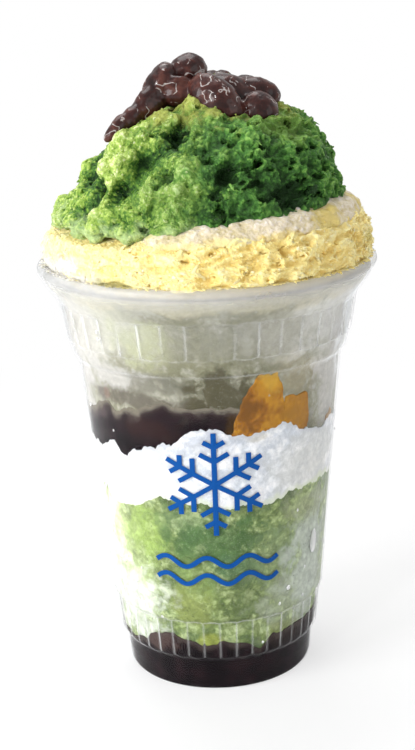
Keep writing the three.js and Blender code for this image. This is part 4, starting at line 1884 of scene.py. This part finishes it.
BEANS = (
    Bean((62, 8, 0), (10.8, 9.4, 8.8), (-0.8, 0, -0.3)),
    Bean((14, -64, 10), (14.5, 8.2, 7.8), (-0.6, -1.5, -0.5)),
    Bean((4, 14, 10), (8.5, 4.6, 7.6), (-0.8, 2.0, 1.2), dent=2.0),
    Bean((-24, 42, 0), (18.5, 11.6, 10.8), (-0.3, 0.2, -1.0)),
    Bean((60, 6, 0), (10, 7.2, 6.8), (-2.4, 0, -2.5)),
    Bean((-12, 12, 0), (13.8, 9.4, 8.8), (-0.2, 0, -1.5)),
    Bean((-74, 10, 0), (10.5, 10.6, 10.4), (-1.2, -0.4, -2.6)),
    Bean((30, -48, 0), (11.4, 5.0, 4.8), (1.6, 0, 0.3)),
    Bean((36, -42, 0), (10.6, 4.5, 4.2), (1.3, 0, -0.7)),
    Bean((38, -44, 0), (9.0, 4.0, 3.8), (0.8, 0, 0.0)),
    Bean((-30, 8, 0), (11.5, 7.8, 7.4)),
    Bean((14, -6, 20), (12, 8.2, 7.6)),
    Bean((-50, 12, 0), (11, 7.6, 7.2)),
)
BEAN_SKIN = Glaze(
    "glazed_bean",
    stops=((0.15, "#210d0c"), (0.5, "#43201c"), (0.85, "#6a3c33")),
    grain=4.5 * MM,
    roughness=0.4,
    coat=0.2,
    coat_roughness=0.12,
    wrinkle=0.15,
    glow=0.1,
    glints=0.6,
)
SYRUP = Glaze(
    "syrup",
    stops=((0.15, "#1a0b0a"), (0.5, "#371a17"), (0.85, "#58322a")),
    roughness=0.35,
    coat=0.25,
    coat_roughness=0.1,
    grain=5 * MM,
    wrinkle=0.15,
    glints=0.9,
)


@dataclass
class Topping:
    """The sweet beans on the crown and the syrup that holds them.

    Attributes:
        bend: How far each bean's ends curve, in mm.
        softness: Rounds of smoothing that let the syrup run into the hollows.
        rise: How far the softened syrup swells again.
        pools: The blobs of syrup that run together. Each has its place from the middle and its size,
            in mm, and how it lies, in degrees.
    """

    bend: float = 0.9
    softness: int = 22
    rise: float = 0.38 * MM
    pools: Sequence[tuple[Triple, Triple, Triple]] = (
        ((1, 1, 1), (28, 20, 8), (0, 0, 0)),
        ((-4, -6, 1.5), (14, 9, 7), (0, 0, 0)),
        ((6.5, -3.5, 2.2), (13, 11, 8), (0, 0, 0)),
        ((10.5, -4, 0), (14, 10, 7), (0, 14, 0)),
        ((-13, -9, -1.2), (13, 4.8, 4.4), (0, -42, 32)),
        ((-19, -13.4, -4.9), (12, 4.4, 3.8), (0, -42, 36)),
    )

    def bean(self, number: int, bean: Bean, material: Material) -> Piece:
        """Makes one bean: a kidney with a seam, wrinkled skin and a coat of syrup."""
        node = f"sweet_bean_{number:02d}"
        low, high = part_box(node)
        deselect()
        lying = (0, math.pi / 2, 0)
        bpy.ops.mesh.primitive_uv_sphere_add(segments=72, ring_count=48, radius=0.5, rotation=lying)
        piece = settle(bpy.context.object, node + "_skin")
        place = places(piece)
        along = place[:, 0] * 2
        belly = np.clip(-place[:, 1] * 2, 0, 1)
        seam = belly * np.exp(-((along / 0.45) ** 2)) * np.exp(-((place[:, 2] / 0.2) ** 2))
        sunk = belly * np.exp(-((np.hypot(along, place[:, 2] * 2) / 0.62) ** 2))
        place = place * np.array(bean.size)
        place[:, 1] += self.bend * (along**2 - 0.4) + 0.7 * seam + bean.dent * sunk
        put(piece, place * MM)
        level = emboss(
            piece,
            (
                Relief(Pattern.CLOUDS, 6, 1.4, shift=number * 13, tint=0.15),
                Relief(Pattern.RIDGES, 4.5, 0.35, (1, 1.8, 1), number * 7, number * 37, tint=0.25),
                Relief(Pattern.RIDGES, 1.8, 0.08, (1, 2.2, 1), number * 5, number * 71, tint=0.1),
            ),
        )
        # painted shade: the dent's kept relief is lowered, so its finish paints it darker
        if bean.dent:
            keep(piece, "relief", level * (1 - 0.8 * sunk))
        yaw, pitch, roll = (math.radians(t) for t in bean.turn)
        turn = Matrix.Rotation(yaw, 3, "Z") @ Matrix.Rotation(pitch, 3, "Y") @ Matrix.Rotation(roll, 3, "X")
        centre = np.array((low + high) / 2) + np.array(bean.move) * MM
        put(piece, places(piece) @ np.array(turn).T + centre)
        return fit(soften(piece), "glazed_bean", material, node)

    def syrup(self, beans: Iterable[Piece]) -> Piece:
        """Makes the syrup: beans and pools run together and softened, so that it fills the hollows."""
        low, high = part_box("bean_syrup")
        middle = (low + high) / 2
        lumps = [link("syrup_lump", bean.data.copy()) for bean in beans]
        for offset, size, turn in self.pools:
            deselect()
            angle = tuple(math.radians(t) for t in turn)
            bpy.ops.mesh.primitive_uv_sphere_add(segments=72, ring_count=40, radius=0.5, rotation=angle)
            pool = bpy.context.object
            pool.location = middle + Vector(offset) * MM
            pool.scale = Vector(size) * MM
            lumps.append(pool)
        deselect()
        for lump in lumps:
            lump.select_set(True)
        bpy.context.view_layer.objects.active = lumps[-1]
        bpy.ops.object.join()
        piece = settle(bpy.context.object, "syrup_pool")
        modify(piece, "REMESH", mode="VOXEL", voxel_size=0.4 * MM, use_smooth_shade=True)
        modify(piece, "SMOOTH", factor=0.5, iterations=self.softness)
        modify(piece, "DISPLACE", strength=self.rise, mid_level=0.0)
        emboss(piece, (Relief(Pattern.CLOUDS, 5, 0.4), Relief(Pattern.RIDGES, 3, 0.2)))
        return fit(soften(piece), "syrup", SYRUP.material(), "bean_syrup")

    def build(self) -> None:
        """Makes the beans and the syrup."""
        skin = BEAN_SKIN.material()
        beans = [self.bean(number, bean, skin) for number, bean in enumerate(BEANS, 1)]
        self.syrup(beans)


# ---- Print and drops -------------------------------------------------------------------------


@dataclass
class Print:
    """A plain blue print on the front: a six-armed ice crystal over two wave lines.

    Attributes:
        line: How wide its lines are.
        coat: How thick the ink is.
        crystal_height: How high the crystal's middle lies.
        arm: How long its arms are.
        branches: Where on an arm each pair of side branches starts and how long it is, as shares of it.
        waves_at: How high the wave lines lie.
        wave_width: How wide they are.
        wave_depth: How far they swing up and down.
        pitch: How far apart the points of a line are at the most.
    """

    line: float = 1.5 * MM
    coat: float = 0.06 * MM
    crystal_height: float = 67 * MM
    arm: float = 15.5 * MM
    branches: Pairs = ((0.45, 0.3), (0.72, 0.22))
    waves_at: Sequence[float] = (43 * MM, 37.5 * MM)
    wave_width: float = 36 * MM
    wave_depth: float = 1.5 * MM
    pitch: float = 1.5 * MM

    def strokes(self) -> list[list[Pair]]:
        """The design's lines, as points along the wall and up it."""
        lines: list[list[Pair]] = []
        for turn in range(0, 360, 60):
            way = math.radians(turn + 90)
            out = Vector((math.cos(way), math.sin(way)))
            lines.append([(0.0, self.crystal_height), self.at(out * self.arm)])
            for share, reach in self.branches:
                root = out * self.arm * share
                for side in (-60, 60):
                    branch = out.copy()
                    branch.rotate(Matrix.Rotation(math.radians(side), 2))
                    lines.append([self.at(root), self.at(root + branch * self.arm * reach)])
        half, steps = self.wave_width / 2, 48
        for level in self.waves_at:
            shares = [i / steps for i in range(steps + 1)]
            rise = [self.wave_depth * math.sin(share * 6 * math.pi) for share in shares]
            lines.append([(mix(-half, half, share), level + up) for share, up in zip(shares, rise)])
        return lines

    def at(self, offset: Vector) -> Pair:
        """A point of the crystal on the wall."""
        return offset.x, offset.y + self.crystal_height

    def build(self) -> None:
        """Draws the lines with round ends, and wraps them on the wall as thin ink."""
        curve = bpy.data.curves.new("print", "CURVE")
        curve.dimensions = "3D"
        curve.bevel_depth = self.line / 2
        curve.bevel_resolution = 3
        curve.use_fill_caps = True
        for stroke in self.strokes():
            spline = curve.splines.new("POLY")
            points = self.finer(stroke)
            spline.points.add(len(points) - 1)
            for point, (along, up) in zip(spline.points, points):
                point.co = (along, 0, up, 1)
        pick(link("print", curve))
        bpy.ops.object.convert(target="MESH")
        piece = settle(bpy.context.object, "blue_print")
        place = places(piece)
        wall = WALL.radius(place[:, 2])
        coat = place[:, 1] / (self.line / 2) * self.coat
        put(piece, wrap(place[:, 0] / wall, wall - coat, place[:, 2]))
        fit(soften(piece, 60), "", Ink().material())

    def finer(self, stroke: Pairs) -> list[Pair]:
        """A stroke with more points, so that it bends with the wall."""
        full = [stroke[0]]
        for (a0, b0), (a1, b1) in zip(stroke, stroke[1:]):
            count = max(1, math.ceil(math.hypot(a1 - a0, b1 - b0) / self.pitch))
            full += [(mix(a0, a1, i / count), mix(b0, b1, i / count)) for i in range(1, count + 1)]
        return full


@dataclass
class Drops:
    """Drops of water that have gathered and run on the cold wall.

    Attributes:
        count: How many scattered drops there are.
        seed: What their places are drawn from.
        runs: The drops at chosen places. Each has its angle, its height, its width and how tall it is,
            in degrees and mm.
    """

    count: int = 44
    seed: int = 12
    runs: Sequence[tuple[float, ...]] = (
        (57, 42.4, 2.7, 7.8),
        (38.5, 31, 1.4, 1.6),
        (50, 26.4, 0.9, 1.1),
        (24, 15, 0.8, 0.9),
        (74, 38, 0.9, 1.8),
    )

    def build(self) -> None:
        """Lays the drops on the wall, each a low dome, some drawn down into runs."""
        draw = np.random.default_rng(self.seed)
        deselect()
        facing = (math.pi / 2, 0, 0)
        bpy.ops.mesh.primitive_uv_sphere_add(segments=16, ring_count=10, radius=0.5, rotation=facing)
        pattern = settle(bpy.context.object, "seed_drop")
        corners = places(pattern)
        faces = [list(f.vertices) for f in pattern.data.polygons]
        bpy.data.objects.remove(pattern)
        spots = list(self.runs)
        for _ in range(self.count):
            size = float(np.exp(draw.normal(-0.45, 0.35)))
            angle, height = float(draw.uniform(30, 330)), float(draw.uniform(14, 116))
            spots.append((angle, height, size, size * float(draw.uniform(1, 1.7))))
        points: list[list[float]] = []
        sides: list[list[int]] = []
        for angle, height, wide, tall in spots:
            start = len(points)
            for x, y, z in corners:
                taper = 1 - 0.35 * z * (1 if tall > 2 * wide else 0.3)
                up = (height + z * tall) * MM
                out = float(WALL.radius(up)) - y * 0.55 * wide * MM
                turn = math.radians(angle) + x * wide * taper * MM / float(WALL.radius(up))
                points.append([out * math.sin(turn), -out * math.cos(turn), up])
            sides += [[start + i for i in face] for face in faces]
        fit(soften(from_lists("drops", points, sides)), "clear_plastic", Water().material())


# ---- Studio ----------------------------------------------------------------------------------


@dataclass(frozen=True)
class Lamp:
    """One soft lamp: where it stands, what it is worth and how wide it is."""

    name: str
    place: Triple
    power: float
    width: float


@dataclass
class Studio:
    """A pale floor, soft lamps and the camera.

    Attributes:
        picture: The picture's width and height, in pixels.
        focal_pixels: The camera's focal length, in pixels.
        sensor: The width of its sensor, in mm.
        distance: How far it stands in front of the cup's axis.
        height: How high it stands.
        yaw: How far it looks to the right, in degrees.
        pitch: How far it looks down, in degrees.
        roll: How far it is turned about its view, in degrees.
        ambient: How bright the room is.
        mirrored: How bright it is in mirrors.
        white_near: How white the floor is under the cup.
        white_from: How far from the cup it starts to get whiter.
        white_by: How far from the cup it is all white.
        aim: The height that the lamps point at.
        lamps: The lamps.
    """

    picture: tuple[int, int] = (415, 750)
    focal_pixels: float = 1429.8
    sensor: float = 36.0
    distance: float = 406.8 * MM
    height: float = 204.6 * MM
    yaw: float = -0.14
    pitch: float = 15.93
    roll: float = -2.08
    ambient: float = 0.45
    mirrored: float = 0.85
    white_near: float = 0.64
    white_from: float = 0.12
    white_by: float = 0.35
    aim: float = 90 * MM
    lamps: Sequence[Lamp] = (
        Lamp("key", (-0.8, -0.5, 0.45), 9.6, 0.5),
        Lamp("fill", (0.7, -0.5, 0.35), 1.2, 0.5),
        Lamp("top", (-0.1, 0.3, 0.9), 4.0, 0.5),
        Lamp("spark", (-0.3, -0.6, 0.6), 0.9, 0.04),
    )

    def camera(self) -> None:
        """Sets up the camera."""
        yaw, pitch, roll = (math.radians(a) for a in (self.yaw, self.pitch, self.roll))
        ahead = Vector((math.sin(yaw) * math.cos(pitch), math.cos(yaw) * math.cos(pitch), -math.sin(pitch)))
        level = Vector((math.cos(yaw), -math.sin(yaw), 0))
        above = level.cross(ahead)
        right = level * math.cos(roll) + above * math.sin(roll)
        up = -level * math.sin(roll) + above * math.cos(roll)
        data = bpy.data.cameras.new("camera")
        data.sensor_width = self.sensor
        data.lens = self.focal_pixels / max(self.picture) * self.sensor
        data.clip_start, data.clip_end = 0.01, 20
        camera = link("camera", data)
        stand = Matrix.Translation((0, -self.distance, self.height))
        camera.matrix_world = stand @ Matrix((right, up, -ahead)).transposed().to_4x4()
        bpy.context.scene.camera = camera

    def light(self) -> None:
        """Hangs the lamps and lights the room."""
        for lamp in self.lamps:
            data = bpy.data.lights.new(lamp.name, "AREA")
            data.energy = lamp.power
            data.size = lamp.width
            held = link(lamp.name, data)
            held.location = lamp.place
            aim = Vector((0, 0, self.aim)) - Vector(lamp.place)
            held.rotation_euler = aim.to_track_quat("-Z", "Y").to_euler()
        world = bpy.data.worlds.new("room")
        world.use_nodes = True
        world.node_tree.nodes.clear()
        wires = Wires(world.node_tree)
        path = wires.add("LightPath")
        seen = wires.times(path.outputs["Is Camera Ray"], 1 - self.ambient)
        mirrored = wires.times(path.outputs["Is Glossy Ray"], self.mirrored - self.ambient)
        strength = wires.plus(wires.plus(seen, mirrored), self.ambient)
        room = wires.add("Background", Color=(1, 1, 1, 1), Strength=strength)
        wires.add("OutputWorld", Surface=room.outputs[0])
        bpy.context.scene.world = world
        bpy.context.scene.view_settings.view_transform = "Standard"

    def floor(self) -> None:
        """Lays the floor."""
        deselect()
        bpy.ops.mesh.primitive_plane_add(size=12)
        floor = bpy.context.object
        floor.name = "floor"
        material, wires = new_material("floor")
        cloud = wires.noise(wires.places(), 0.3, 3)
        colour = wires.blend(wires.spread(cloud, 0.3, 0.7, (0, 0.2)), linear("#fbfbfc"), linear("#f4f5f7"))
        shader = wires.add("BsdfPrincipled", Base_Color=colour, Roughness=0.7, Specular_IOR_Level=0.1)
        reach = wires.add("VectorMath", {"operation": "LENGTH"}, i0=wires.places()).outputs["Value"]
        seen = wires.add("LightPath").outputs["Is Camera Ray"]
        far = wires.spread(reach, self.white_from, self.white_by, (self.white_near, 1))
        share = wires.times(far, seen)
        white = wires.add("Emission", Color=(1, 1, 1, 1), Strength=1.0)
        both = wires.add("MixShader", i0=share, i1=shader.outputs[0], i2=white.outputs[0])
        show(wires, both.outputs[0])
        floor.data.materials.append(material)

    def build(self) -> None:
        """Sets up the whole studio."""
        self.camera()
        self.light()
        self.floor()


def main() -> None:
    """Builds the part in order."""
    logging.basicConfig(level=logging.INFO, format="%(message)s")
    Studio().build()
    cup = Cup().build()
    Filling().build()
    Heap().build(cup)
    Topping().build()
    Print().build()
    Drops().build()


if __name__ == "__main__":
    main()
